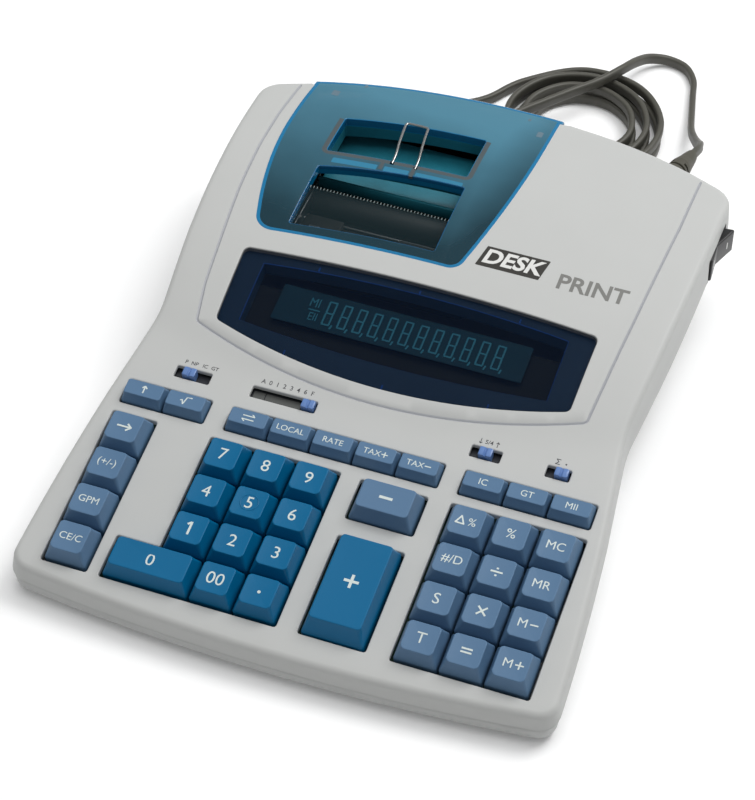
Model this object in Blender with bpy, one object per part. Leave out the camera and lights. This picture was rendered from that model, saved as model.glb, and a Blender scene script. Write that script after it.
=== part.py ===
"""A desk printing calculator: sloped keyboard deck, raised display and printer hump, mains lead.

Sizes are in millimetres and become metres in the meshes. +X is the user's right, +Y is away from
the user and +Z is up; the origin is the middle of the case's footprint on the table.
"""

import math

import bmesh
import bpy
import numpy as np
from mathutils import Matrix, Vector

MM = 0.001
GAP = 0.3  # between pieces that touch
RUNNING_GAP = 0.4  # round the lid, which moves

# Case outline
CASE_DEPTH = 315.6
CASE_HEIGHT = 59.3
FRONT_HALF = 118.3  # half widths at the front corners, the waist and the rear corners
WAIST_HALF = 106.3
REAR_HALF = 113.5
FRONT_BOW = 7.4  # how far the front corners stand back from the front's middle
REAR_BOW = 28.1
REAR_BOW_POWER = 2.2
WAIST_FROM_FRONT = 144.3
SIDE_BULGE = 2.0
FRONT_CORNER = 9.5
REAR_CORNER = 14.5
WAIST_BLEND = 60.0
WALL = 2.2
FRONT_Y = -CASE_DEPTH / 2
REAR_Y = CASE_DEPTH / 2
WAIST_Y = FRONT_Y + WAIST_FROM_FRONT

# Keyboard deck and the hump behind it
DECK_TILT = math.radians(10.0)
DECK_FRONT_Z = 16.1
DECK_LENGTH = 119.0  # front edge to fold, in the middle
FOLD_BOW = 18.7  # the fold is this much further back at the sides
CREST_FROM_REAR = 70.3
REAR_FALL = 0.0015
CREST_Y = REAR_Y - CREST_FROM_REAR
SEAM_FRONT_Z = 8.3
SEAM_REAR_DROP = 12.18  # the seam would reach the rear this far under the crest
SEAM_SLOPE = (CASE_HEIGHT - SEAM_REAR_DROP - SEAM_FRONT_Z) / CASE_DEPTH
LEAN_PER_MM = 0.28  # the lower walls lean in by this much of their height
LEAN_LESS = 1.3

# Feet and posts
FOOT_RADIUS = 7.0
FOOT_HEIGHT = 1.5
POST_RADIUS = 3.5

# Keys, on the deck: u to the right, v up the deck, h out of it
ROW_7_FROM_FRONT = 80.3
KEY_PITCH = 19.0
KEY_BASE = 18.0
KEY_TOP = 13.4
KEY_TOP_DEEP = 13.0
KEY_RISE = 6.8
KEY_SKIRT = 5.5
KEY_TRAVEL = 3.0
KEY_MARGIN = 1.3  # from the outermost keys to their opening's edge
OPENING_CORNER = 1.2
TOP_ROW_V = -1.0
SMALL_BASE = (18.2, 11.2)  # wide and deep, as in the sizes below
SMALL_TOP = (16.2, 6.9)
SMALL_RISE = 4.5
SMALL_V = 20.3
SMALL_MARGIN = 0.7
BIG_KEY_RISE = 7.5
BIG_SIDE_MARGIN = 1.35
MINUS_BASE = (27.2, 18.6)
MINUS_TOP = (22.3, 13.4)
MINUS_PLACE = (22.2, -1.2)
PLUS_BASE = (26.5, 47.0)
PLUS_TOP = (21.9, 40.3)
PLUS_TOP_SHIFT = 1.0
PLUS_PLACE = (22.2, -43.8)
LEFT_COLUMN_U = -94.4
NUMBER_COLUMN_U = -49.7
RIGHT_COLUMN_U = 57.05
STRIP_SHIFT = 2.8  # the middle strip of small keys starts this far right of the number columns
DECK_ORIGIN_Y = FRONT_Y + ROW_7_FROM_FRONT

# Slide switches
KNOB_WIDE = 5.6
KNOB_DEEP = 4.4
KNOB_RISE = 2.0
SLOT_V = 36.4
SLOT_DEEP = 5.8

# Board and display, below the deck's plane
BOARD_DEPTH = KEY_SKIRT + KEY_TRAVEL + GAP
BOARD_THICK = 1.6
BOARD_HALF = 101.0
TUBE_THICK = 4.1
TUBE_LEFT = -74.0
TUBE_RIGHT = 71.0
TUBE_DEEP = 27.0
WINDOW_HALF = 81.0
WINDOW_THICK = 2.2
WINDOW_REAR_Y = CREST_Y - 59.3
WINDOW_FRONT_Y = CREST_Y - 113.5
WINDOW_REAR_BOW = 3.5
WINDOW_FRONT_BOW = 13.3
WINDOW_CORNER = 3.0

# Printer lid
LID_LEFT = -92.4
LID_RIGHT = 25.3
LID_FRONT_Y = CREST_Y - 48.5
LID_THICK = 2.0
LID_DROP = 10.1  # the lid's rim ends this far below the crest
LID_HINGE_FROM_REAR = 2.2
LUG_RADIUS = 1.6
CHUTE_LEFT = -67.5
CHUTE_RIGHT = -2.5
CHUTE_FROM_REAR = 32.7
CHUTE_FRONT_Y = CREST_Y + 8.8
CHUTE_WALL = 1.2
EXIT_LEFT = -67.3
EXIT_RIGHT = -1.0
EXIT_FROM_REAR = 69.0
EXIT_FRONT_Y = CREST_Y - 40.5
HINGE_Y = REAR_Y - LID_HINGE_FROM_REAR
HINGE_Z = CASE_HEIGHT - LID_DROP
TEAR_THICK = 1.0
TEAR_REAR_Y = CREST_Y - 18.5
TOOTH = 1.6
STAND_WIRE = 0.6
STAND_LEFT = -36.9
STAND_RIGHT = -26.0
STAND_PIVOT_Y = CREST_Y + 5.5
STAND_REACH = 27.2
STAND_SLOT = 3.2

# Printer
FRAME_LEFT = -72.0
FRAME_RIGHT = 4.0
FRAME_FRONT_Y = CREST_Y - 41.5
FRAME_REAR_Y = CREST_Y + 2.5
FRAME_BASE_Z = CASE_HEIGHT - 34.3
FRAME_TOP_Z = CASE_HEIGHT - 13.3
FRAME_PLATE = 2.0
PLATEN_RADIUS = 6.0
PLATEN_Y = CREST_Y - 9.5
PLATEN_Z = CASE_HEIGHT - 21.3
SHAFT_RADIUS = 2.0

# Power rocker, in the right wall
ROCKER_LONG = 24.0
ROCKER_TALL = 12.0
ROCKER_Y = CREST_Y + 16.0
ROCKER_Z = CASE_HEIGHT - 16.0
ROCKER_OPENING = 2.2  # clearance at each end, which the rocking ends need
ROCKER_PIVOT_IN = 2.0  # the pivot is this far inside the wall's widest line

# Mains lead: a flat two-core cord, as wide as its CAD tube
CORD_WIDE = 5.5
EXIT_X = 77.0
EXIT_Z = CASE_HEIGHT - 21.3
BOOT_NECK = 4.0
COIL_X = 20.0
COIL_Y = REAR_Y + 51.2
COIL_INNER = 21.0
COIL_OUTER = 40.5
COIL_HIGH = 10.8
LEAD_EXIT_Z = 38.0  # the height of the exit that the lead is drawn from
LEAD_FALL = 7  # so many of its first points follow the exit
# The routes count y from the rear of the case
LEAD_ROUTE = (
    (82.9, 20.8, 31.2),
    (83.9, 26.6, 30.0),
    (83.6, 33.6, 26.4),
    (81.4, 42.2, 19.6),
    (77.4, 52.7, 12.8),
    (72.6, 65.2, 7.6),
    (68.8, 81.2, 4.2),
    (65.4, 96.2, 3.1),
    (62.5, 107.8, 2.9),
    (56.0, 116.5, 2.9),
    (46.0, 118.6, 3.6),
    (37.6, 112.8, 6.6),
    (33.4, 101.2, 11.6),
    (29.6, 89.8, 14.6),
    (21.6, 76.6, 14.6),
    (11.2, 64.2, 14.6),
    (1.0, 51.6, 14.6),
    (-9.0, 38.8, 14.6),
    (-16.4, 28.0, 13.6),
    (-18.2, 18.2, 8.4),
    (-12.4, 9.8, 4.0),
    (-1.6, 6.8, 3.0),
    (12.6, 7.0, 3.0),
)
TAIL_ROUTE = (
    (-21.8, 65.8, 3.0),
    (-28.4, 59.2, 3.0),
    (-37.0, 50.6, 3.6),
    (-44.6, 43.4, 6.4),
    (-49.4, 39.2, 6.85),
)
PLUG_LONG = 36.0
PLUG_WIDE = 35.3
PLUG_THICK = 13.7
PIN_RADIUS = 2.0
PIN_LONG = 19.0
PIN_APART = 18.6


def from_rear(route):
    return [Vector((x, REAR_Y + y, z)) for x, y, z in route]


def lead_points():
    """The lead's route, its first points moved up or down with the exit."""
    points = from_rear(LEAD_ROUTE)
    for index in range(LEAD_FALL):
        points[index].z += (EXIT_Z - LEAD_EXIT_Z) * (1 - index / LEAD_FALL)
    return points


def clear_scene():
    for old in list(bpy.data.objects):
        bpy.data.objects.remove(old)


# ---- plain geometry ---------------------------------------------------------------------------


def filleted(corners, steps=5):
    """A closed outline whose corners (x, y, radius) are rounded where the radius isn't 0."""
    outline = []
    count = len(corners)
    for index, (x, y, radius) in enumerate(corners):
        corner = Vector((x, y))
        if not radius:
            outline.append(corner)
            continue
        before = (Vector(corners[index - 1][:2]) - corner).normalized()
        after = (Vector(corners[(index + 1) % count][:2]) - corner).normalized()
        half = before.angle(after) / 2
        reach = radius / math.tan(half)
        start = corner + before * reach
        middle = corner + (before + after).normalized() * (radius / math.sin(half))
        turn = (start - middle).angle_signed(corner + after * reach - middle)
        for step in range(steps + 1):
            spoke = (start - middle).copy()
            spoke.rotate(Matrix.Rotation(-turn * step / steps, 2))
            outline.append(middle + spoke)
    return [tuple(point) for point in outline]


def grown(outline, by):
    """The outline moved outwards, or inwards where by is negative. It runs anticlockwise."""
    points = np.array(outline, float)
    along = np.roll(points, -1, axis=0) - points
    along /= np.linalg.norm(along, axis=1)[:, None]
    before = np.roll(along, 1, axis=0)
    outward = np.stack([along[:, 1] + before[:, 1], -along[:, 0] - before[:, 0]], axis=1)
    outward /= np.linalg.norm(outward, axis=1)[:, None]
    miter = 1 / np.maximum(0.5, (outward * np.stack([along[:, 1], -along[:, 0]], axis=1)).sum(1))
    return [tuple(point) for point in points + outward * (by * miter)[:, None]]


def rectangle(left, right, low, high, radius=0.0):
    return [(left, low, radius), (right, low, radius), (right, high, radius), (left, high, radius)]


def smooth_route(points, spacing):
    """Points about that far apart on a smooth curve (Catmull-Rom) through the given ones."""
    knots = np.array(points, float)
    padded = np.vstack([2 * knots[0] - knots[1], knots, 2 * knots[-1] - knots[-2]])
    fine = []
    for a, b, c, d in zip(padded, padded[1:], padded[2:], padded[3:]):
        squared = 2 * a - 5 * b + 4 * c - d
        cubed = 3 * b - a - 3 * c + d
        for t in np.arange(0, 1, 0.05):
            fine.append(0.5 * (2 * b + (c - a) * t + squared * t**2 + cubed * t**3))
    fine = np.array(fine + [knots[-1]])
    along = np.concatenate([[0], np.cumsum(np.linalg.norm(np.diff(fine, axis=0), axis=1))])
    at = np.linspace(0, along[-1], round(along[-1] / spacing) + 1)
    return np.stack([np.interp(at, along, fine[:, axis]) for axis in range(3)], axis=1)


# ---- the case's own surfaces ------------------------------------------------------------------


def front_edge(x):
    return FRONT_Y + FRONT_BOW * (x / FRONT_HALF) ** 2


def rear_edge(x):
    return REAR_Y - REAR_BOW * (abs(x) / REAR_HALF) ** REAR_BOW_POWER


def deck_z(y):
    return DECK_FRONT_Z + math.tan(DECK_TILT) * (y - FRONT_Y)


def fold_y(x):
    return FRONT_Y + DECK_LENGTH + FOLD_BOW * (x / WAIST_HALF) ** 2


def seam_z(y):
    return SEAM_FRONT_Z + SEAM_SLOPE * (y - FRONT_Y)


def top_z(x, y):
    """The case's upper surface: the flat deck, then a hump that is a parabola in y."""
    fold = fold_y(x)
    if y <= fold:
        return deck_z(y)
    if y > CREST_Y:
        return CASE_HEIGHT - REAR_FALL * (y - CREST_Y) ** 2
    rise = (CASE_HEIGHT - deck_z(fold)) / (CREST_Y - fold) ** 2
    return CASE_HEIGHT - rise * (CREST_Y - y) ** 2


def side_points(x_start, y_start, x_end, y_end, count):
    """Points between the two ends of a side, bulging outwards."""
    points = []
    for step in range(1, count):
        t = step / count
        bulge = 4 * SIDE_BULGE * t * (1 - t)
        points.append((x_start + (x_end - x_start) * t + bulge, y_start + (y_end - y_start) * t, 0))
    return points


def case_outline():
    """The case from above, anticlockwise from the middle of its front edge."""
    front = (FRONT_HALF, front_edge(FRONT_HALF))
    rear = (REAR_HALF, rear_edge(REAR_HALF))
    right = [(x, front_edge(x), 0) for x in np.linspace(0, FRONT_HALF, 5)[:-1]]
    right.append((*front, FRONT_CORNER))
    right += side_points(*front, WAIST_HALF, WAIST_Y, 3)
    right.append((WAIST_HALF, WAIST_Y, WAIST_BLEND))
    right += side_points(WAIST_HALF, WAIST_Y, *rear, 4)
    right.append((*rear, REAR_CORNER))
    right += [(x, rear_edge(x), 0) for x in np.linspace(REAR_HALF, 0, 7)[1:]]
    left = [(-x, y, radius) for x, y, radius in right[-2:0:-1]]
    return filleted(right + left)


def window_outline():
    """The display window from above."""
    across = np.linspace(1, -1, 5) * WINDOW_HALF
    rear = [(x, WINDOW_REAR_Y - WINDOW_REAR_BOW * (x / WINDOW_HALF) ** 2) for x in across]
    front = [
        (x, WINDOW_FRONT_Y + WINDOW_FRONT_BOW * (x / WINDOW_HALF) ** 2)
        for x in np.linspace(-1, 1, 9) * (WINDOW_HALF - 1)
    ]
    corners = [(*point, 0) for point in front + rear]
    for index in (0, 8, 9, 13):
        corners[index] = (*corners[index][:2], WINDOW_CORNER)
    return filleted(corners, 3)


def lid_left(y):
    return LID_LEFT + (0.0022 if y < CREST_Y + 17.5 else 0.0009) * (CREST_Y + 17.5 - y) ** 2


def lid_right(y):
    return LID_RIGHT - 0.00138 * max(0.0, CREST_Y + 46.5 - y) ** 2


def lid_front(x):
    return LID_FRONT_Y - 2.5 * (x / 60) ** 2


def lid_outline(beyond=0.0):
    """The printer lid from above. Its rear follows the case's, or passes it by the given distance."""
    right_corner = lid_right(LID_FRONT_Y)
    left_corner = lid_left(LID_FRONT_Y - 4)
    corners = [(x, lid_front(x), 0) for x in np.linspace(-70, 0, 4)]
    corners.append((right_corner, lid_front(right_corner), 8))
    corners += [(lid_right(y), y, 0) for y in np.linspace(LID_FRONT_Y + 14, CREST_Y + 46.5, 4)]
    for x in np.linspace(lid_right(REAR_Y), lid_left(REAR_Y - 17), 7):
        corners.append((x, rear_edge(x) + beyond, 0))
    corners += [(lid_left(y), y, 0) for y in np.linspace(CREST_Y + 35, LID_FRONT_Y + 12, 4)]
    corners.append((left_corner, lid_front(left_corner), 10))
    return filleted(corners, 4)


def chute_outline():
    """The lid's rear window, where the paper goes in."""
    front = [(x, CHUTE_FRONT_Y - 4.9 * (x / 67) ** 2, 0) for x in np.linspace(CHUTE_LEFT, CHUTE_RIGHT, 5)]
    rear = [(x, rear_edge(x) - CHUTE_FROM_REAR, 0) for x in np.linspace(CHUTE_RIGHT, CHUTE_LEFT, 5)]
    return [point[:2] for point in front + rear]


def exit_outline():
    """The lid's front window, where the paper comes out."""
    front = [(x, EXIT_FRONT_Y - 4.2 * (x / 66) ** 2, 0) for x in np.linspace(EXIT_LEFT, EXIT_RIGHT, 5)]
    rear = [(x, rear_edge(x) - EXIT_FROM_REAR, 0) for x in np.linspace(EXIT_RIGHT, EXIT_LEFT, 5)]
    return [point[:2] for point in front + rear]


# ---- meshes and objects -----------------------------------------------------------------------


def material(name, colour, roughness=0.5, metallic=0.0, alpha=1.0):
    made = bpy.data.materials.get(name)
    if made:
        return made
    made = bpy.data.materials.new(name)
    made.use_nodes = True
    shader = made.node_tree.nodes["Principled BSDF"]
    shader.inputs["Base Color"].default_value = (*colour, 1)
    shader.inputs["Roughness"].default_value = roughness
    shader.inputs["Metallic"].default_value = metallic
    shader.inputs["Alpha"].default_value = alpha
    made.diffuse_color = (*colour, 1)
    return made


def add(name, mesh, finish=None, parent=None, location=(0, 0, 0)):
    """A named object in the scene; location is in millimetres in its parent's frame."""
    made = bpy.data.objects.new(name, mesh)
    bpy.context.scene.collection.objects.link(made)
    made.parent = parent
    made.location = Vector(location) * MM
    if finish and not mesh.materials:
        mesh.materials.append(finish)
    return made


def helper(name, mesh, parent=None, location=(0, 0, 0)):
    """A cutter or another guide, which isn't part of the object."""
    made = add(name, mesh, None, parent, location)
    made.hide_render = True
    made.display_type = "WIRE"
    return made


def to_mesh(name, bm):
    bmesh.ops.recalc_face_normals(bm, faces=bm.faces)
    bmesh.ops.scale(bm, vec=(MM, MM, MM), verts=bm.verts)
    mesh = bpy.data.meshes.new(name)
    bm.to_mesh(mesh)
    bm.free()
    return mesh


def add_rings(bm, rings):
    """Closed rings of the same number of points, joined by sides and closed by caps."""
    made = [[bm.verts.new(point) for point in ring] for ring in rings]
    count = len(made[0])
    for low, high in zip(made, made[1:]):
        for i in range(count):
            j = (i + 1) % count
            bm.faces.new((low[i], low[j], high[j], high[i]))
    bm.faces.new(list(reversed(made[0])))
    bm.faces.new(made[-1])


def ring_mesh(name, rings):
    bm = bmesh.new()
    add_rings(bm, rings)
    return to_mesh(name, bm)


def level(outline, z):
    return [(x, y, z) for x, y in outline]


def prism_mesh(name, *pieces):
    """One or more upright prisms, each given as (outline, low, high)."""
    bm = bmesh.new()
    for outline, low, high in pieces:
        add_rings(bm, [level(outline, low), level(outline, high)])
    return to_mesh(name, bm)


def circle(x, y, radius, sides=16):
    turns = (2 * math.pi * step / sides for step in range(sides))
    return [(x + radius * math.cos(turn), y + radius * math.sin(turn)) for turn in turns]


def block_mesh(name, left, right, y_rows, top, bottom):
    """A block over a grid of columns and rows, with functions of (x, y) for its top and bottom."""
    columns = np.linspace(left, right, 13)
    bm = bmesh.new()
    grid = {}
    for i, x in enumerate(columns):
        for j, y in enumerate(y_rows(x)):
            grid[i, j, 1] = bm.verts.new((x, y, top(x, y)))
            grid[i, j, 0] = bm.verts.new((x, y, bottom(x, y)))
    last_i, last_j = max(key[0] for key in grid), max(key[1] for key in grid)
    for i in range(last_i):
        for j in range(last_j):
            around = [(i, j), (i + 1, j), (i + 1, j + 1), (i, j + 1)]
            bm.faces.new([grid[*corner, 1] for corner in around])
            bm.faces.new([grid[*corner, 0] for corner in reversed(around)])
        for j in (0, last_j):
            bm.faces.new([grid[key] for key in ((i, j, 0), (i + 1, j, 0), (i + 1, j, 1), (i, j, 1))])
    for j in range(last_j):
        for i in (0, last_i):
            bm.faces.new([grid[key] for key in ((i, j, 0), (i, j + 1, 0), (i, j + 1, 1), (i, j, 1))])
    return to_mesh(name, bm)


def case_rows(x):
    """Rows that follow the fold, then the hump's curve."""
    return [FRONT_Y - 5, *np.linspace(fold_y(x), REAR_Y + 5, 10)]


def boolean(piece, cutter, operation="DIFFERENCE"):
    modifier = piece.modifiers.new(cutter.name, "BOOLEAN")
    modifier.operation = operation
    modifier.solver = "EXACT"
    modifier.object = cutter


def turned_mesh(name, profile, sides=16):
    """A profile of (along, radius) turned about +X, closed by flat ends."""
    bm = bmesh.new()
    rings = []
    for along, radius in profile:
        rings.append([(along, y, z) for y, z in circle(0, 0, radius, sides)])
    add_rings(bm, rings)
    return to_mesh(name, bm)


def tube(name, points, radius, finish, resolution=2):
    """A curve object along the points, with a round section and filled ends."""
    curve = bpy.data.curves.new(name, "CURVE")
    curve.dimensions = "3D"
    curve.bevel_depth = radius * MM
    curve.bevel_resolution = resolution
    curve.use_fill_caps = True
    spline = curve.splines.new("POLY")
    spline.points.add(len(points) - 1)
    for place, point in zip(spline.points, points):
        place.co = (*(Vector(point) * MM), 1)
    return add(name, curve, finish)


def deck_frame():
    """An empty on the deck, turned with it: the parent of everything that sits square to the deck."""
    deck = bpy.data.objects.new("deck", None)
    bpy.context.scene.collection.objects.link(deck)
    deck.location = Vector((0, DECK_ORIGIN_Y, deck_z(DECK_ORIGIN_Y))) * MM
    deck.rotation_euler = (DECK_TILT, 0, 0)
    return deck


# ---- keys -------------------------------------------------------------------------------------


def chamfered(wide, deep, corner, shift=0.0):
    """A rectangle about the origin with its corners cut off."""
    x, y = wide / 2, deep / 2
    right = [(x - corner, -y), (x, -y + corner), (x, y - corner), (x - corner, y)]
    left = [(-x + corner, y), (-x, y - corner), (-x, -y + corner), (-x + corner, -y)]
    return [(px, py + shift) for px, py in right + left]


def key_mesh(name, base_wide, base_deep, top_wide, top_deep, rise, shift=0.0):
    """A key cap: upright skirt, sloping flanks and a flat top."""
    skirt = chamfered(base_wide, base_deep, 1.0)
    top = chamfered(top_wide, top_deep, 1.2, shift)
    edge = chamfered(top_wide - 1.2, top_deep - 1.2, 1.0, shift)
    return ring_mesh(
        name, [level(skirt, -KEY_SKIRT), level(skirt, 0), level(top, rise - 0.5), level(edge, rise)]
    )


def row_v(row):
    return TOP_ROW_V - KEY_PITCH * row


def add_keys(deck):
    number_blue = material("number_key_blue", (0.0, 0.13, 0.42), 0.4)
    function_blue = material("function_key_blue", (0.10, 0.20, 0.42), 0.4)
    standard = key_mesh("key_cap", KEY_BASE, KEY_BASE, KEY_TOP, KEY_TOP_DEEP, KEY_RISE)
    grey = key_mesh("function_cap", KEY_BASE, KEY_BASE, KEY_TOP, KEY_TOP_DEEP, KEY_RISE)
    small = key_mesh("small_cap", *SMALL_BASE, *SMALL_TOP, SMALL_RISE)
    zero_sizes = (KEY_BASE + KEY_PITCH, KEY_BASE, KEY_TOP + KEY_PITCH, KEY_TOP_DEEP)
    wide_zero = key_mesh("zero_cap", *zero_sizes, KEY_RISE)
    columns = [
        (LEFT_COLUMN_U, grey, function_blue, ("shift_right", "sign", "gpm", "clear")),
        (NUMBER_COLUMN_U, standard, number_blue, ("7", "4", "1")),
        (NUMBER_COLUMN_U + KEY_PITCH, standard, number_blue, ("8", "5", "2", "00")),
        (NUMBER_COLUMN_U + 2 * KEY_PITCH, standard, number_blue, ("9", "6", "3", "point")),
        (RIGHT_COLUMN_U, grey, function_blue, ("delta_percent", "number_date", "subtotal", "total")),
        (RIGHT_COLUMN_U + KEY_PITCH, grey, function_blue, ("percent", "divide", "multiply", "equals")),
        (RIGHT_COLUMN_U + 2 * KEY_PITCH, grey, function_blue, ("mc", "mr", "m_minus", "m_plus")),
    ]
    for u, cap, finish, names in columns:
        for row, name in enumerate(names):
            add("key_" + name, cap, finish, deck, (u, row_v(row), 0))
    zero_u = NUMBER_COLUMN_U - KEY_PITCH / 2
    add("key_0", wide_zero, number_blue, deck, (zero_u, row_v(3), 0))
    strips = [
        (LEFT_COLUMN_U, ("feed", "root")),
        (NUMBER_COLUMN_U + STRIP_SHIFT, ("exchange", "local", "rate", "tax_plus", "tax_minus")),
        (RIGHT_COLUMN_U, ("ic", "gt", "m2")),
    ]
    for start, names in strips:
        for place, name in enumerate(names):
            add("key_" + name, small, function_blue, deck, (start + KEY_PITCH * place, SMALL_V, 0))
    minus = key_mesh("minus_cap", *MINUS_BASE, *MINUS_TOP, BIG_KEY_RISE)
    add("key_minus", minus, function_blue, deck, (*MINUS_PLACE, 0))
    plus = key_mesh("plus_cap", *PLUS_BASE, *PLUS_TOP, BIG_KEY_RISE, PLUS_TOP_SHIFT)
    add("key_plus", plus, number_blue, deck, (*PLUS_PLACE, 0))


def opening_round(place, base, more_columns=0, side_margin=SMALL_MARGIN):
    """The opening round a small or big key, or round a strip of them."""
    (u, v), (wide, deep) = place, base
    half_wide, half_deep = wide / 2 + side_margin, deep / 2 + SMALL_MARGIN
    right = u + KEY_PITCH * more_columns + half_wide
    return rectangle(u - half_wide, right, v - half_deep, v + half_deep, OPENING_CORNER)


def key_openings():
    """The openings that the keys stand in, as outlines on the deck."""
    half = KEY_BASE / 2 + KEY_MARGIN
    top = row_v(0) + half
    bottom = row_v(3) - half
    number_left = NUMBER_COLUMN_U - half
    number_right = NUMBER_COLUMN_U + 2 * KEY_PITCH + half
    zero_left = number_left - KEY_PITCH
    zero_top = bottom + 2 * half
    return [
        rectangle(LEFT_COLUMN_U - half, LEFT_COLUMN_U + half, bottom, top, OPENING_CORNER),
        [
            (zero_left, bottom, OPENING_CORNER),
            (number_right, bottom, OPENING_CORNER),
            (number_right, top, OPENING_CORNER),
            (number_left, top, OPENING_CORNER),
            (number_left, zero_top, 0),
            (zero_left, zero_top, OPENING_CORNER),
        ],
        rectangle(RIGHT_COLUMN_U - half, RIGHT_COLUMN_U + 2 * KEY_PITCH + half, bottom, top, OPENING_CORNER),
        opening_round((LEFT_COLUMN_U, SMALL_V), SMALL_BASE, 1),
        opening_round((NUMBER_COLUMN_U + STRIP_SHIFT, SMALL_V), SMALL_BASE, 4),
        opening_round((RIGHT_COLUMN_U, SMALL_V), SMALL_BASE, 2),
        opening_round(MINUS_PLACE, MINUS_BASE, 0, BIG_SIDE_MARGIN),
        opening_round(PLUS_PLACE, PLUS_BASE, 0, BIG_SIDE_MARGIN),
    ]


def slots():
    """The slide switches: name, the slot's left and right ends, and where its knob stands."""
    return [
        ("slider_print_mode", -87.0, -70.9, -80.4),
        ("slider_decimal", -52.2, -22.7, -26.2),
        ("slider_rounding", 46.0, 59.4, 52.7),
        ("slider_sum", 79.0, 89.6, 85.8),
    ]


def add_sliders(deck):
    finish = material("slider_lilac", (0.22, 0.27, 0.62), 0.45)
    across = KNOB_WIDE / 2
    groove = 0.6
    profile = [
        (-across, -3.0),
        (across, -3.0),
        (across, KNOB_RISE),
        (groove, KNOB_RISE),
        (0, KNOB_RISE - groove),
        (-groove, KNOB_RISE),
        (-across, KNOB_RISE),
    ]
    front, back = ([(x, y, z) for x, z in profile] for y in (-KNOB_DEEP / 2, KNOB_DEEP / 2))
    knob = ring_mesh("knob", [front, back])
    for name, _, _, place in slots():
        add(name, knob, finish, deck, (place, SLOT_V, 0))


# ---- case -------------------------------------------------------------------------------------


def deck_cutter(deck):
    """Everything that is cut straight through the deck."""
    pieces = [(filleted(opening, 2), -12.0, 9.0) for opening in key_openings()]
    for _, left, right, _ in slots():
        outline = filleted(rectangle(left, right, SLOT_V - SLOT_DEEP / 2, SLOT_V + SLOT_DEEP / 2, 0.8), 2)
        pieces.append((outline, -8.0, 9.0))
    return helper("cut_deck", prism_mesh("cut_deck", *pieces), deck)


def rocker_cutter():
    half_long = ROCKER_LONG / 2 + ROCKER_OPENING
    half_tall = ROCKER_TALL / 2 + GAP
    outline = rectangle(REAR_HALF - 9, REAR_HALF + 8, ROCKER_Y - half_long, ROCKER_Y + half_long)
    points = [point[:2] for point in outline]
    block = prism_mesh("cut_rocker", (points, ROCKER_Z - half_tall, ROCKER_Z + half_tall))
    return helper("cut_rocker", block)


def add_upper_case(deck, rocker_cut):
    reach = max(FRONT_HALF, REAR_HALF) + 5
    thick_z = WALL / math.cos(DECK_TILT)
    body = block_mesh("upper_case", -reach, reach, case_rows, top_z, lambda x, y: seam_z(y))
    case = add("upper_case", body, material("case_white", (0.72, 0.73, 0.71), 0.5))
    outline = case_outline()
    boolean(case, helper("case_edge", prism_mesh("case_edge", (outline, -5, 70))), "INTERSECT")
    hollow_top = block_mesh(
        "hollow", -reach, reach, case_rows, lambda x, y: top_z(x, y) - thick_z, lambda x, y: seam_z(y) - 4
    )
    hollow = helper("hollow", hollow_top)
    inner = helper("hollow_edge", prism_mesh("hollow_edge", (grown(outline, -WALL), -10, 75)))
    boolean(hollow, inner, "INTERSECT")
    boolean(case, hollow)
    boolean(case, deck_cutter(deck))
    window_cut = prism_mesh("cut_window", (window_outline(), DECK_FRONT_Z, 75))
    boolean(case, helper("cut_window", window_cut))
    lid_cut = grown(lid_outline(8), RUNNING_GAP)
    boolean(case, helper("cut_lid", prism_mesh("cut_lid", (lid_cut, seam_z(CREST_Y) - 3, 75))))
    boolean(case, rocker_cut)


def lean(y):
    """How far the lower case's wall leans in at its foot."""
    return max(1.0, LEAN_PER_MM * seam_z(y) - LEAN_LESS)


def lower_ring(outline, z, inwards):
    """The outline at the given height of the leaning wall, moved in by the given distance."""
    points = np.array(grown(outline, -inwards))
    inside = np.array(grown(outline, -inwards - 1)) - points
    ring = []
    for (x, y), (step_x, step_y) in zip(points, inside):
        top = seam_z(y) - GAP
        height = top if z is None else z
        lean_in = lean(y) * (1 - height / top)
        ring.append((x + step_x * lean_in, y + step_y * lean_in, height))
    return ring


def post_places():
    """The posts under the board and under the printer: x, y and the top's height."""
    posts = []
    board_low = (BOARD_DEPTH + BOARD_THICK) / math.cos(DECK_TILT)
    for x in (-88, 0, 88):
        for y in (DECK_ORIGIN_Y - 58, DECK_ORIGIN_Y + 30):
            posts.append((x, y, deck_z(y - POST_RADIUS) - board_low - GAP))
    for x in (FRAME_LEFT + 8, FRAME_RIGHT - 8):
        for y in (FRAME_FRONT_Y + 8, FRAME_REAR_Y - 8):
            posts.append((x, y, FRAME_BASE_Z - GAP))
    return posts


def foot_places():
    return [(-96, FRONT_Y + 24), (96, FRONT_Y + 24), (-84, REAR_Y - 42), (84, REAR_Y - 42)]


def boot_matrix():
    """Places the strain relief: its +X runs out through the rear wall."""
    root = Vector((EXIT_X, rear_edge(EXIT_X) - lean(rear_edge(EXIT_X)) * 0.2, EXIT_Z))
    tip = lead_points()[0]
    return Matrix.Translation(root * MM) @ (tip - root).to_track_quat("X", "Z").to_matrix().to_4x4()


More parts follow.
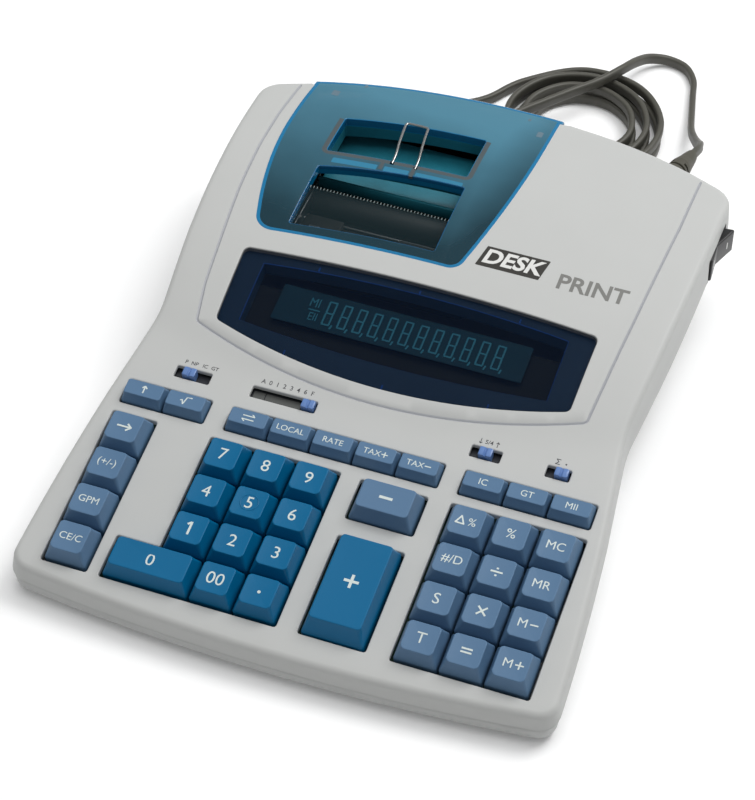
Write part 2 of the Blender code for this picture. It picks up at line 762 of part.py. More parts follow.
def add_lower_case(rocker_cut):
    outline = case_outline()
    shell = ring_mesh("lower_case", [lower_ring(outline, FOOT_HEIGHT, 0), lower_ring(outline, None, 0)])
    case = add("lower_case", shell, material("case_base", (0.66, 0.67, 0.65), 0.5))
    floor = FOOT_HEIGHT + WALL
    inner = [lower_ring(outline, floor, WALL), lower_ring(outline, None, WALL)]
    above = [(x, y, z + 6) for x, y, z in inner[1]]
    boolean(case, helper("tray", ring_mesh("tray", [inner[0], inner[1], above])))
    posts = [(circle(x, y, POST_RADIUS, 8), FOOT_HEIGHT + WALL / 2, top) for x, y, top in post_places()]
    feet = [(circle(x, y, FOOT_RADIUS, 20), 0, FOOT_HEIGHT + WALL / 2) for x, y in foot_places()]
    boolean(case, helper("posts_and_feet", prism_mesh("posts_and_feet", *posts, *feet)), "UNION")
    hole = helper("cut_cord", turned_mesh("cut_cord", [(-12, BOOT_NECK + 0.5), (12, BOOT_NECK + 0.5)]))
    hole.matrix_world = boot_matrix()
    boolean(case, hole)
    boolean(case, rocker_cut)


# ---- display and electronics ------------------------------------------------------------------


def add_window():
    reach = WINDOW_HALF + 4
    thick_z = WINDOW_THICK / math.cos(DECK_TILT)
    rows = [WINDOW_FRONT_Y - 4, *np.linspace(WINDOW_FRONT_Y + 8, WINDOW_REAR_Y + 4, 4)]
    plate = block_mesh(
        "display_window", -reach, reach, lambda x: rows, top_z, lambda x, y: top_z(x, y) - thick_z
    )
    window = add("display_window", plate, material("window_navy", (0.01, 0.03, 0.10), 0.08, alpha=0.6))
    edge = prism_mesh("window_edge", (grown(window_outline(), -GAP), DECK_FRONT_Z, 75))
    boolean(window, helper("window_edge", edge), "INTERSECT")


def add_electronics(deck):
    tube_v = ((WINDOW_FRONT_Y + WINDOW_REAR_Y) / 2 - DECK_ORIGIN_Y) / math.cos(DECK_TILT)
    tube_low = -BOARD_DEPTH + GAP
    glass = rectangle(TUBE_LEFT, TUBE_RIGHT, tube_v - TUBE_DEEP / 2, tube_v + TUBE_DEEP / 2, 1.5)
    mesh = prism_mesh("display_tube", (filleted(glass, 2), tube_low, tube_low + TUBE_THICK))
    add("display_tube", mesh, material("tube_glass", (0.02, 0.04, 0.05), 0.1), deck)
    board = rectangle(-BOARD_HALF, BOARD_HALF, row_v(3) - 12, tube_v + TUBE_DEEP / 2 + 1, 3)
    mesh = prism_mesh("circuit_board", (filleted(board, 2), -BOARD_DEPTH - BOARD_THICK, -BOARD_DEPTH))
    add("circuit_board", mesh, material("board_green", (0.03, 0.12, 0.06), 0.6), deck)


# ---- printer and its lid ----------------------------------------------------------------------


def add_printer():
    low, high = FRAME_BASE_Z, FRAME_TOP_Z
    profile = [
        (FRAME_LEFT, low),
        (FRAME_RIGHT, low),
        (FRAME_RIGHT, high),
        (FRAME_RIGHT - FRAME_PLATE, high),
        (FRAME_RIGHT - FRAME_PLATE, low + FRAME_PLATE),
        (FRAME_LEFT + FRAME_PLATE, low + FRAME_PLATE),
        (FRAME_LEFT + FRAME_PLATE, high),
        (FRAME_LEFT, high),
    ]
    rings = [[(x, y, z) for x, z in profile] for y in (FRAME_FRONT_Y, FRAME_REAR_Y)]
    black = material("frame_black", (0.03, 0.03, 0.035), 0.5)
    frame = add("printer_frame", ring_mesh("printer_frame", rings), black)
    hole = turned_mesh("cut_shaft", [(-60, SHAFT_RADIUS + GAP), (60, SHAFT_RADIUS + GAP)], 12)
    middle = (FRAME_LEFT + FRAME_RIGHT) / 2
    boolean(frame, helper("cut_shaft", hole, None, (middle, PLATEN_Y, PLATEN_Z)))
    inside = (FRAME_RIGHT - FRAME_LEFT) / 2 - FRAME_PLATE - 1.0
    shaft = inside + 1.0 + FRAME_PLATE + 2.0
    profile = [
        (-shaft, SHAFT_RADIUS),
        (-inside, SHAFT_RADIUS),
        (-inside, PLATEN_RADIUS),
        (inside, PLATEN_RADIUS),
        (inside, SHAFT_RADIUS),
        (shaft, SHAFT_RADIUS),
    ]
    rubber = material("platen_rubber", (0.04, 0.04, 0.04), 0.7)
    platen = add("platen_roller", turned_mesh("platen_roller", profile, 12), rubber)
    platen.location = Vector((middle, PLATEN_Y, PLATEN_Z)) * MM


def add_lid():
    """The lid: a curved plate with a rim, two windows and slots for the stand.

    Its origin is on the hinge.
    """
    rim = HINGE_Z - 0.2
    reach = (LID_LEFT - 6, LID_RIGHT + 6)
    hinge = bpy.data.objects.new("lid_hinge", None)
    bpy.context.scene.collection.objects.link(hinge)
    hinge.location = Vector((0, HINGE_Y, HINGE_Z)) * MM
    back = (0, -HINGE_Y, -HINGE_Z)
    rows = np.linspace(LID_FRONT_Y - 12, REAR_Y + 6, 15)
    plate = block_mesh("printer_cover", *reach, lambda x: rows, top_z, lambda x, y: rim)
    plate.transform(Matrix.Translation(Vector(back) * MM))
    lid = add("printer_cover", plate, material("cover_blue", (0.02, 0.22, 0.42), 0.1, alpha=0.7), hinge)
    outline = lid_outline()
    boolean(lid, helper("lid_edge", prism_mesh("lid_edge", (outline, rim - 5, 75))), "INTERSECT")
    cavity = block_mesh(
        "lid_hollow", *reach, lambda x: rows, lambda x, y: top_z(x, y) - LID_THICK, lambda x, y: rim - 3
    )
    hollow = helper("lid_hollow", cavity)
    inner = helper("lid_inner", prism_mesh("lid_inner", (grown(outline, -LID_THICK), rim - 6, 75)))
    boolean(hollow, inner, "INTERSECT")
    chute = chute_outline()
    walls = prism_mesh("chute_walls", (grown(chute, CHUTE_WALL), rim - 6, 75))
    boolean(hollow, helper("chute_walls", walls))
    boolean(lid, hollow)
    stand_slots = []
    for x in (STAND_LEFT, STAND_RIGHT):
        slot = rectangle(x - STAND_SLOT / 2, x + STAND_SLOT / 2, STAND_PIVOT_Y - 1.5, CHUTE_FRONT_Y + 1)
        stand_slots.append([point[:2] for point in slot])
    windows = prism_mesh("cut_windows", (chute, rim - 6, 75), (exit_outline(), rim - 6, 75))
    boolean(lid, helper("cut_windows", windows))
    slots_mesh = prism_mesh("cut_stand_slots", *[(slot, rim - 6, 75) for slot in stand_slots])
    boolean(lid, helper("cut_stand_slots", slots_mesh))
    lug = turned_mesh("lugs", [(-3, LUG_RADIUS), (3, LUG_RADIUS)], 10)
    for side, x in (("left", -20), ("right", 10)):
        boolean(lid, helper("lug_" + side, lug, None, (x, HINGE_Y, HINGE_Z)), "UNION")
    add_tear_bar(hinge)
    add_stand(hinge)


def add_tear_bar(hinge):
    """A clear blade under the front window, with a row of teeth along its rear edge."""
    left, right = EXIT_LEFT - 1, EXIT_RIGHT + 1
    teeth = round((right - left) / TOOTH)
    step = (right - left) / teeth
    outline = [(left, LID_FRONT_Y + 4), (right, LID_FRONT_Y + 4)]
    outline += [(right - step * i / 2, TEAR_REAR_Y - (i % 2)) for i in range(2 * teeth + 1)]
    under = LID_THICK + GAP

    def sheet_z(y):
        return top_z(left, y) - under

    rings = [
        [(x, y - HINGE_Y, sheet_z(y) - TEAR_THICK - HINGE_Z) for x, y in outline],
        [(x, y - HINGE_Y, sheet_z(y) - HINGE_Z) for x, y in outline],
    ]
    clear = material("tear_clear", (0.3, 0.36, 0.38), 0.2, alpha=0.5)
    add("tear_bar", ring_mesh("tear_bar", rings), clear, hinge)


def add_stand(hinge):
    """The wire that holds up the printed paper. Its origin is on its pivot in the lid."""
    pivot = Vector((0, STAND_PIVOT_Y, top_z(0, STAND_PIVOT_Y) - 0.3))
    lift = 1.5
    legs = [
        (STAND_LEFT, 0, 0),
        (STAND_LEFT, 5.5, lift * 0.75),
        (STAND_LEFT - 1.2, 14, lift),
        (STAND_LEFT - 2.4, STAND_REACH - 1.2, lift),
        (STAND_LEFT - 1.8, STAND_REACH - 0.3, lift),
        (STAND_LEFT - 0.6, STAND_REACH, lift),
        (STAND_RIGHT - 4.4, STAND_REACH, lift),
        (STAND_RIGHT - 3.2, STAND_REACH - 0.3, lift),
        (STAND_RIGHT - 2.6, STAND_REACH - 1.2, lift),
        (STAND_RIGHT - 1.3, 14, lift),
        (STAND_RIGHT, 5.5, lift * 0.75),
        (STAND_RIGHT, 0, 0),
    ]
    wire = tube("paper_stand", legs, STAND_WIRE, material("wire_steel", (0.6, 0.6, 0.62), 0.25, 1.0), 1)
    wire.parent = hinge
    wire.location = (pivot - Vector((0, HINGE_Y, HINGE_Z))) * MM


# ---- power ------------------------------------------------------------------------------------


def add_rocker():
    """The rocker, seen from above: a shallow V whose rear end stands out. Its origin is on its pivot."""
    half = ROCKER_LONG / 2
    outline = [(-4.5, -half + 1), (2.4, -half), (1.6, -1.0), (6.2, half - 0.6), (5.4, half), (-4.5, half - 1)]
    mesh = prism_mesh("power_rocker", (outline, -ROCKER_TALL / 2, ROCKER_TALL / 2))
    pivot = (REAR_HALF - ROCKER_PIVOT_IN, ROCKER_Y, ROCKER_Z)
    add("power_rocker", mesh, material("rocker_black", (0.02, 0.02, 0.02), 0.4), None, pivot)


def add_boot():
    """The ribbed strain relief: inner flange, neck through the wall, then a body that tapers."""
    matrix = boot_matrix()
    root = matrix.translation / MM
    reach = (lead_points()[0] - root).length - 4 * GAP
    profile = [
        (-7.5, 6.4),
        (-5.5, 6.4),
        (-5.5, BOOT_NECK),
        (3.6, BOOT_NECK),
        (3.6, 6.0),
        (reach * 0.55, 5.4),
        (reach - 3, 4.0),
        (reach, 3.2),
    ]
    rubber = material("boot_grey", (0.30, 0.30, 0.27), 0.6)
    boot = add("strain_relief", turned_mesh("strain_relief", profile), rubber)
    boot.matrix_world = matrix


def add_cord():
    sheath = material("cord_olive", (0.12, 0.12, 0.10), 0.5)
    tube("power_cord", smooth_route(lead_points(), CORD_WIDE * 1.6), CORD_WIDE / 2, sheath)
    tube("cord_tail", smooth_route(from_rear(TAIL_ROUTE), CORD_WIDE * 1.6), CORD_WIDE / 2, sheath)
    bm = bmesh.new()
    high = GAP + COIL_HIGH
    profile = [(COIL_INNER, GAP), (COIL_OUTER, GAP), (COIL_OUTER, high), (COIL_INNER, high)]
    turns = [2 * math.pi * step / 32 for step in range(32)]
    rings = [
        [bm.verts.new((COIL_X + r * math.cos(turn), COIL_Y + r * math.sin(turn), z)) for r, z in profile]
        for turn in turns
    ]
    for ring, following in zip(rings, rings[1:] + rings[:1]):
        for i in range(4):
            j = (i + 1) % 4
            bm.faces.new((ring[i], ring[j], following[j], following[i]))
    add("cord_coil", to_mesh("cord_coil", bm), sheath)


def add_plug():
    """A flat two-pin plug that lies on the table, in line with the end of the cord."""
    before, end = from_rear(TAIL_ROUTE)[-2:]
    heading = (end - before).to_2d().normalized()
    middle = PLUG_THICK / 2 - end.z
    sections = [
        (0, 9.0, 9.0),
        (6, 13.0, 10.5),
        (14, 26.0, PLUG_THICK),
        (PLUG_LONG - 4, PLUG_WIDE, PLUG_THICK),
        (PLUG_LONG, PLUG_WIDE - 4, PLUG_THICK - 3),
    ]
    rings = []
    for along, wide, thick in sections:
        rings.append([(along, y, z + middle) for y, z in chamfered(wide, thick, thick * 0.28)])
    body = material("plug_black", (0.05, 0.05, 0.045), 0.5)
    plug = add("mains_plug", ring_mesh("mains_plug", rings), body)
    turn = math.atan2(heading.y, heading.x)
    place = Matrix.Translation((end + Vector((*heading, 0)) * 2 * GAP) * MM) @ Matrix.Rotation(turn, 4, "Z")
    plug.matrix_world = place
    pin = turned_mesh("pin", [(PLUG_LONG - 3, PIN_RADIUS), (PLUG_LONG + PIN_LONG, PIN_RADIUS)], 12)
    for side, y in (("left", -PIN_APART / 2), ("right", PIN_APART / 2)):
        guide = helper("pin_" + side, pin)
        guide.matrix_world = place @ Matrix.Translation(Vector((0, y, middle)) * MM)
        boolean(plug, guide, "UNION")


def main():
    clear_scene()
    deck = deck_frame()
    rocker_cut = rocker_cutter()
    add_upper_case(deck, rocker_cut)
    add_lower_case(rocker_cut)
    add_window()
    add_electronics(deck)
    add_keys(deck)
    add_sliders(deck)
    add_printer()
    add_lid()
    add_rocker()
    add_boot()
    add_cord()
    add_plug()


main()
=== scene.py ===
# The finished look of a desk printing calculator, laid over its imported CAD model.
# Lengths in the dictionaries are millimetres; meshes are in metres, in the frame of the CAD.
import math

import bmesh
import bpy
import numpy as np
from mathutils import Matrix, Vector
from mathutils.geometry import delaunay_2d_cdt


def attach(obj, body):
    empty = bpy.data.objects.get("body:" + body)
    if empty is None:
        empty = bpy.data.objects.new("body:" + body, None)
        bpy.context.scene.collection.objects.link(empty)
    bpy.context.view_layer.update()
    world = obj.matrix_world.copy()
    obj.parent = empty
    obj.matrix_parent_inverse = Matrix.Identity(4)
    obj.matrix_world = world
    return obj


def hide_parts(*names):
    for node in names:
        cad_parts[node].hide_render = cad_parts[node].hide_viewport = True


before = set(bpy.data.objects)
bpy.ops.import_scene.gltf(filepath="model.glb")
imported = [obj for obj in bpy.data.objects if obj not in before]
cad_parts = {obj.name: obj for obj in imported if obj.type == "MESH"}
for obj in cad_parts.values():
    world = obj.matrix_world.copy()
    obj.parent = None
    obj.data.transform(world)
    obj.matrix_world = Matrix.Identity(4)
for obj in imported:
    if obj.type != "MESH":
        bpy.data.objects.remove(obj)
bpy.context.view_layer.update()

mm = 0.001
weldDistance = 0.0002 * mm


def linked(name, data):
    made = bpy.data.objects.new(name, data)
    bpy.context.scene.collection.objects.link(made)
    return made


# ---- view, floor and light

view = {
    "place": (257.12, -778.48, 859.6),
    "right": (0.9411, 0.3377, 0.0139),
    "down": (0.2523, -0.6745, -0.6938),
    "forward": (-0.225, 0.6565, -0.72),
    "lens": 121.3,
}
studio = {
    "floorColour": (0.88, 0.88, 0.88),
    "floorGlow": 0.08,
    "worldStrength": 0.34,
    "keyPlace": (0.6, 0.7, 1.3),
    "keySize": 0.9,
    "keyPower": 13.6,
    "topPlace": (-0.05, 0.3, 2.0),
    "topSize": 2.0,
    "topPower": 23.0,
    "fillPlace": (-1.0, -0.2, 0.7),
    "fillSize": 0.8,
    "fillPower": 0.5,
}


def addCamera():
    data = bpy.data.cameras.new("camera")
    data.lens = view["lens"]
    data.sensor_width = 36.0
    data.clip_end = 10.0
    camera = linked("camera", data)
    axes = [Vector(view["right"]), -Vector(view["down"]), -Vector(view["forward"])]
    turned = Matrix(axes).transposed().to_quaternion().to_matrix().to_4x4()
    camera.matrix_world = Matrix.Translation(Vector(view["place"]) * mm) @ turned
    bpy.context.scene.camera = camera


def addLamp(name, place, size, power, glossy=True):
    data = bpy.data.lights.new(name, "AREA")
    data.shape = "DISK"
    data.size = size
    data.energy = power
    lamp = linked(name, data)
    lamp.visible_glossy = glossy
    lamp.location = place
    lamp.rotation_euler = (-Vector(place)).to_track_quat("-Z", "Y").to_euler()


def addStudio():
    world = bpy.data.worlds.new("studio")
    bpy.context.scene.world = world
    world.use_nodes = True
    background = world.node_tree.nodes["Background"]
    background.inputs["Color"].default_value = (0.98, 0.99, 1.0, 1.0)
    background.inputs["Strength"].default_value = studio["worldStrength"]
    addLamp("keyLight", studio["keyPlace"], studio["keySize"], studio["keyPower"])
    addLamp("topLight", studio["topPlace"], studio["topSize"], studio["topPower"], False)
    addLamp("fillLight", studio["fillPlace"], studio["fillSize"], studio["fillPower"])
    scene = bpy.context.scene
    scene.view_settings.view_transform = "Standard"
    scene.view_settings.look = "None"


# ---- shader arithmetic and finishes


class Wire:
    # A socket in a material's tree, so that expressions on it add Math nodes.
    def __init__(self, tree, socket=None):
        self.tree = tree
        self.socket = socket

    def node(self, kind, settings, values, out=0):
        made = self.tree.nodes.new(kind)
        for key, value in settings.items():
            setattr(made, key, value)
        for key, value in values.items():
            if isinstance(value, Wire):
                self.tree.links.new(value.socket, made.inputs[key])
            else:
                made.inputs[key].default_value = value
        return Wire(self.tree, made.outputs[out])

    def maths(self, operation, left, right=0.0):
        return self.node("ShaderNodeMath", {"operation": operation}, {0: left, 1: right})

    def __add__(self, other):
        return self.maths("ADD", self, other)

    def __radd__(self, other):
        return self.maths("ADD", other, self)

    def __sub__(self, other):
        return self.maths("SUBTRACT", self, other)

    def __rsub__(self, other):
        return self.maths("SUBTRACT", other, self)

    def __mul__(self, other):
        return self.maths("MULTIPLY", self, other)

    def __rmul__(self, other):
        return self.maths("MULTIPLY", other, self)

    def __truediv__(self, other):
        return self.maths("DIVIDE", self, other)

    def clipped(self):
        return self.node("ShaderNodeClamp", {}, {"Value": self})


def startFinish(name):
    made = bpy.data.materials.new(name)
    made.use_nodes = True
    tree = made.node_tree
    return made, tree.nodes["Principled BSDF"], Wire(tree)


def mixNode(wire, factor, first, second):
    values = {0: factor, 6: first, 7: second}
    return wire.node("ShaderNodeMix", {"data_type": "RGBA"}, values, 2)


def noise(wire, scale, detail=2.0, roughness=0.5):
    place = wire.node("ShaderNodeTexCoord", {}, {}, "Object")
    return wire.node("ShaderNodeTexNoise", {},
                     {"Vector": place, "Scale": scale, "Detail": detail, "Roughness": roughness})


def feed(shader, wire, name, value):
    wire.tree.links.new(value.socket, shader.inputs[name])


def bumped(shader, wire, height, strength, distance):
    bump = wire.node("ShaderNodeBump", {}, {"Height": height, "Strength": strength, "Distance": distance})
    feed(shader, wire, "Normal", bump)


# Moulded plastic: a cloudy shift in colour, a fine spark-eroded grain and a roughness that wanders.
def moulded(name, colour, roughness, grain=0.00002, grainScale=2600.0, mottle=0.04, coat=0.0, coatRoughness=0.1,
            alpha=1.0, specular=0.5, metallic=0.0):
    made, shader, wire = startFinish(name)
    cloud = noise(wire, 42.0, 4.0)
    fine = noise(wire, grainScale, 3.0, 0.6)
    dark = tuple(max(0.0, c * (1 - mottle)) for c in colour)
    light = tuple(min(1.0, c * (1 + mottle)) for c in colour)
    feed(shader, wire, "Base Color", mixNode(wire, (cloud * 0.7 + fine * 0.3), (*dark, 1.0), (*light, 1.0)))
    feed(shader, wire, "Roughness", (roughness - 0.06) + (fine * 0.08 + cloud * 0.04))
    if grain:
        bumped(shader, wire, fine, 0.5, grain)
    shader.inputs["Coat Weight"].default_value = coat
    shader.inputs["Coat Roughness"].default_value = coatRoughness
    shader.inputs["Specular IOR Level"].default_value = specular
    shader.inputs["Metallic"].default_value = metallic
    shader.inputs["Alpha"].default_value = alpha
    made.diffuse_color = (*colour, 1.0)
    return made


# A cover of tinted clear plastic: its colour grows lighter from its front to its rear, a painted reflection
# of the light behind it; its density grows the same way, and its right edge stays dark.
def tintedWithPaintedReflection(name, frontColour, rearColourWithReflection, roughness, alphaLow, alphaHigh, coat=0.6):
    made, shader, wire = startFinish(name)
    place = wire.node("ShaderNodeTexCoord", {}, {}, "Object")
    parts = wire.node("ShaderNodeSeparateXYZ", {}, {"Vector": place})
    along = Wire(wire.tree, parts.socket.node.outputs["Y"])
    across = Wire(wire.tree, parts.socket.node.outputs["X"])
    cloud = noise(wire, 26.0, 3.0)
    rightEdge = wire.maths("MAXIMUM", across - 0.004)
    # painted reflection: this mask lightens the colour towards the rear, and it also sets the density
    densityAndReflectionMask = ((along - 0.045) / 0.095 - rightEdge * 22.0 + (cloud - 0.5) * 0.4).clipped()
    feed(shader, wire, "Base Color", mixNode(wire, densityAndReflectionMask, (*frontColour, 1.0), (*rearColourWithReflection, 1.0)))
    fine = noise(wire, 1500.0, 2.0)
    feed(shader, wire, "Roughness", (roughness - 0.03) + fine * 0.06)
    feed(shader, wire, "Alpha", (alphaLow + densityAndReflectionMask * (alphaHigh - alphaLow)))
    bumped(shader, wire, fine, 0.25, 0.00001)
    shader.inputs["Coat Weight"].default_value = coat
    shader.inputs["Coat Roughness"].default_value = 0.12
    made.diffuse_color = (*rearColourWithReflection, 1.0)
    return made


print("stage: view, light and finishes")
addCamera()
addStudio()
floorFinish = moulded("floorPaper", studio["floorColour"], 0.9, 0.0, 300.0, 0.005)
floorShader = floorFinish.node_tree.nodes["Principled BSDF"]
floorShader.inputs["Emission Color"].default_value = (1.0, 1.0, 1.0, 1.0)
floorShader.inputs["Emission Strength"].default_value = studio["floorGlow"]
finishes = {
    "caseTop": moulded("caseTop", (0.455, 0.461, 0.451), 0.5, 0.00003, 2400.0, 0.03, specular=0.3),
    "caseBase": moulded("caseBase", (0.44, 0.446, 0.438), 0.52, 0.00003, 2400.0, 0.03, specular=0.4),
    # the groove's faces are darker bluish grey: painted shade in the engraved groove
    "groove": moulded("paintedGrooveShade", (0.36, 0.37, 0.39), 0.5, 0.00002),
    "numberKeys": moulded("numberKeys", (0.0, 0.112, 0.25), 0.4, 0.000012, 3000.0, 0.05, specular=0.25),
    "functionKeys": moulded("functionKeys", (0.086, 0.165, 0.275), 0.42, 0.000012, 3000.0, 0.05, specular=0.25),
    "legend": moulded("paleLegend", (0.56, 0.62, 0.60), 0.5, 0.000005, 2600.0, 0.03),
    "print": moulded("greyPrint", (0.045, 0.045, 0.05), 0.55, 0.000005, 2600.0, 0.08),
    "badge": moulded("badgeGround", (0.028, 0.026, 0.022), 0.4, 0.000005, 2600.0, 0.08),
    "badgeWord": moulded("badgeWord", (0.62, 0.62, 0.6), 0.5, 0.000005, 2600.0, 0.03),
    "wordGrey": moulded("wordGrey", (0.16, 0.16, 0.15), 0.5, 0.000005, 2600.0, 0.06),
    "knobs": moulded("sliderKnobs", (0.10, 0.19, 0.42), 0.35, 0.00001, 3000.0, 0.05, 0.1, 0.3),
    "slotDark": moulded("slotDark", (0.024, 0.026, 0.032), 0.6, 0.00001),
    "scale": moulded("slotScale", (0.075, 0.078, 0.075), 0.55, 0.00001),
    "window": moulded("windowNavy", (0.002, 0.006, 0.016), 0.07, 0.0, 900.0, 0.08, alpha=0.42, specular=0.12),
    "bezel": moulded("bezelNavy", (0.024, 0.078, 0.17), 0.5, 0.00002, 2000.0, 0.25),
    "bezelEdge": moulded("bezelEdge", (0.012, 0.15, 0.75), 0.3, 0.0, 900.0, 0.1),
    "tube": moulded("tubeGlass", (0.02, 0.026, 0.026), 0.14, 0.0, 900.0, 0.2),
    "tubePanel": moulded("tubePanel", (0.012, 0.085, 0.135), 0.3, 0.0, 900.0, 0.2),
    "segments": moulded("unlitSegments", (0.08, 0.5, 0.72), 0.35, 0.0, 900.0, 0.1),
    "board": moulded("boardMask", (0.012, 0.05, 0.03), 0.5, 0.00002, 1200.0, 0.3),
    "cover": tintedWithPaintedReflection("coverBlue", (0.003, 0.034, 0.052), (0.062, 0.205, 0.29), 0.3, 0.8, 0.92, 0.12),
    "coverEdge": moulded("coverEdge", (0.0, 0.155, 0.33), 0.25, 0.0, 900.0, 0.12, 0.4, 0.1, 0.95),
    "coverPatch": moulded("coverPatch", (0.024, 0.185, 0.31), 0.3, 0.0, 900.0, 0.1, 0.2, 0.2, 0.95),
    "tooth": moulded("tearTooth", (0.20, 0.24, 0.24), 0.3, 0.0, 900.0, 0.05),
    "coverWall": moulded("coverWall", (0.002, 0.10, 0.24), 0.25, 0.0, 900.0, 0.25, 0.5, 0.1, 0.92),
    "coverFrame": moulded("coverFrame", (0.062, 0.08, 0.088), 0.4, 0.000008, 1500.0, 0.12, 0.3, 0.2, 0.95),
    "peg": moulded("coverPeg", (0.10, 0.16, 0.20), 0.5, 0.0, 900.0, 0.2),
    "tear": moulded("tearClear", (0.012, 0.028, 0.034), 0.16, 0.0, 900.0, 0.1, alpha=0.3, specular=0.25),
    "bay": moulded("printerBay", (0.012, 0.020, 0.024), 0.5, 0.00003, 900.0, 0.4),
    "bayTeal": moulded("bayTeal", (0.012, 0.14, 0.19), 0.4, 0.00003, 900.0, 0.5),
    "works": moulded("printerWorks", (0.022, 0.020, 0.018), 0.5, 0.00003, 1200.0, 0.4),
    "platen": moulded("platenRubber", (0.016, 0.018, 0.018), 0.6, 0.00001, 1500.0, 0.2),
    "worksMetal": moulded("worksMetal", (0.42, 0.43, 0.43), 0.32, 0.00001, 1200.0, 0.2, metallic=1.0),
    "steel": moulded("drawnSteel", (0.46, 0.46, 0.45), 0.28, 0.000006, 2600.0, 0.12, metallic=1.0),
    "rocker": moulded("rockerBlack", (0.012, 0.012, 0.013), 0.38, 0.00002, 2600.0, 0.2),
    "rockerMark": moulded("rockerMark", (0.75, 0.75, 0.74), 0.5, 0.0, 2600.0, 0.03),
    "recess": moulded("recessGrey", (0.05, 0.05, 0.047), 0.55, 0.00002, 2600.0, 0.1),
    "cord": moulded("cordSheath", (0.068, 0.066, 0.054), 0.46, 0.00004, 900.0, 0.12),
    "boot": moulded("bootRubber", (0.062, 0.058, 0.044), 0.6, 0.00004, 1600.0, 0.08),
    "plug": moulded("plugBody", (0.05, 0.05, 0.042), 0.5, 0.00004, 1600.0, 0.1),
    "nickel": moulded("nickelPins", (0.66, 0.63, 0.57), 0.22, 0.000006, 2600.0, 0.1, metallic=1.0),
    "tie": moulded("tieBlack", (0.012, 0.012, 0.012), 0.5, 0.00002, 1600.0, 0.1),
    "foot": moulded("footRubber", (0.022, 0.022, 0.023), 0.8, 0.00006, 1300.0, 0.15),
}


# ---- shapes as arrays


# Faces of a grid of rings: quad (row, column) joins ring row to row + 1 and column to the next one round.
def ringFaces(rings, count):
    row = np.arange(rings - 1)[:, None] * count
    column = np.arange(count)
    after = (column + 1) % count
    quads = np.stack([row + column, row + after, row + count + after, row + count + column], axis=-1)
    return quads.reshape(-1, 4)


def meshOf(name, points, faces):
    mesh = bpy.data.meshes.new(name)
    mesh.from_pydata((np.asarray(points, float) * mm).tolist(), [], [list(map(int, face)) for face in faces])
    return mesh


# A piece of the finished look on one body. kinds gives each face's place in a list of finishes.
def newPiece(name, points, faces, finish, body, replaced=(), slot=None, kinds=None, sharp=35.0):
    mesh = meshOf(name, points, faces)
    for one in finish if isinstance(finish, list) else [finish]:
        mesh.materials.append(one)
    if kinds is not None:
        mesh.polygons.foreach_set("material_index", np.asarray(kinds, np.int32))
    tidy = bmesh.new()
    tidy.from_mesh(mesh)
    bmesh.ops.remove_doubles(tidy, verts=tidy.verts, dist=weldDistance)
    bmesh.ops.recalc_face_normals(tidy, faces=tidy.faces)
    tidy.to_mesh(mesh)
    tidy.free()
    mesh.polygons.foreach_set("use_smooth", np.ones(len(mesh.polygons), bool))
    mesh.set_sharp_from_angle(angle=math.radians(sharp))
    piece = linked(name, mesh)
    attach(piece, body)
    if replaced:
        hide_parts(*replaced)
    return piece


# A profile carried along rings, closed by a cap at each end; rings has shape (rings, points, 3).
def swept(rings):
    rings = np.asarray(rings, float)
    rows, count = rings.shape[:2]
    faces = [list(face) for face in ringFaces(rows, count)]
    faces.append(list(range(count))[::-1])
    faces.append(list(range((rows - 1) * count, rows * count)))
    return rings.reshape(-1, 3), faces


# The solids given as (points, faces), put together as one list of points and faces.
def joined(*solids):
    points, faces, start = [], [], 0
    for solid in solids:
        points.append(np.asarray(solid[0], float))
        faces += [[index + start for index in face] for face in solid[1]]
        start += len(solid[0])
    return np.concatenate(points), faces


# Rounded rectangle about the origin: four quarter circles set at its corners, anticlockwise.
def roundedRect(halfWide, halfDeep, radius, steps=6):
    turn = np.linspace(0, np.pi / 2, steps)
    quarter = np.stack([np.cos(turn), np.sin(turn)], axis=1)
    corners = []
    for quarterTurn, (signX, signY) in enumerate([(1, 1), (-1, 1), (-1, -1), (1, -1)]):
        a = quarterTurn * np.pi / 2
        spin = np.array([[np.cos(a), np.sin(a)], [-np.sin(a), np.cos(a)]])
        corners.append(quarter @ spin * radius + [signX * (halfWide - radius), signY * (halfDeep - radius)])
    return np.concatenate(corners)


# An outline through corners (x, y, radius): each rounded corner is an arc tangent to its two sides.
def rounded(corners, steps=8, closed=True):
    outline = []
    count = len(corners)
    for index, (x, y, radius) in enumerate(corners):
        corner = Vector((x, y))
        if not radius or (not closed and index in (0, count - 1)):
            outline.append([[x, y]])
            continue
        before = (Vector(corners[index - 1][:2]) - corner).normalized()
        after = (Vector(corners[(index + 1) % count][:2]) - corner).normalized()
        half = before.angle(after) / 2
        start = corner + before * (radius / math.tan(half))
        middle = corner + (before + after).normalized() * (radius / math.sin(half))
        end = corner + after * (radius / math.tan(half))
        turn = (start - middle).angle_signed(end - middle)
        angles = -turn * np.linspace(0, 1, steps + 1)
        spoke = start - middle
        arc = np.stack([spoke.x * np.cos(angles) - spoke.y * np.sin(angles),
                        spoke.x * np.sin(angles) + spoke.y * np.cos(angles)], axis=1)
        outline.append(arc + [middle.x, middle.y])
    return np.concatenate(outline)


# The loop with points no further apart than the spacing: each side is cut into equal parts.
def refined(loop, spacing, closed=True):
    ends = np.roll(loop, -1, axis=0) if closed else loop[1:]
    starts = loop if closed else loop[:-1]
    parts = np.maximum(1, np.ceil(np.linalg.norm(ends - starts, axis=1) / spacing)).astype(int)
    owner = np.repeat(np.arange(len(parts)), parts)
    step = np.arange(parts.sum()) - np.repeat(np.cumsum(parts) - parts, parts)
    points = starts[owner] + (ends - starts)[owner] * (step / parts[owner])[:, None]
    return points if closed else np.vstack([points, loop[-1]])


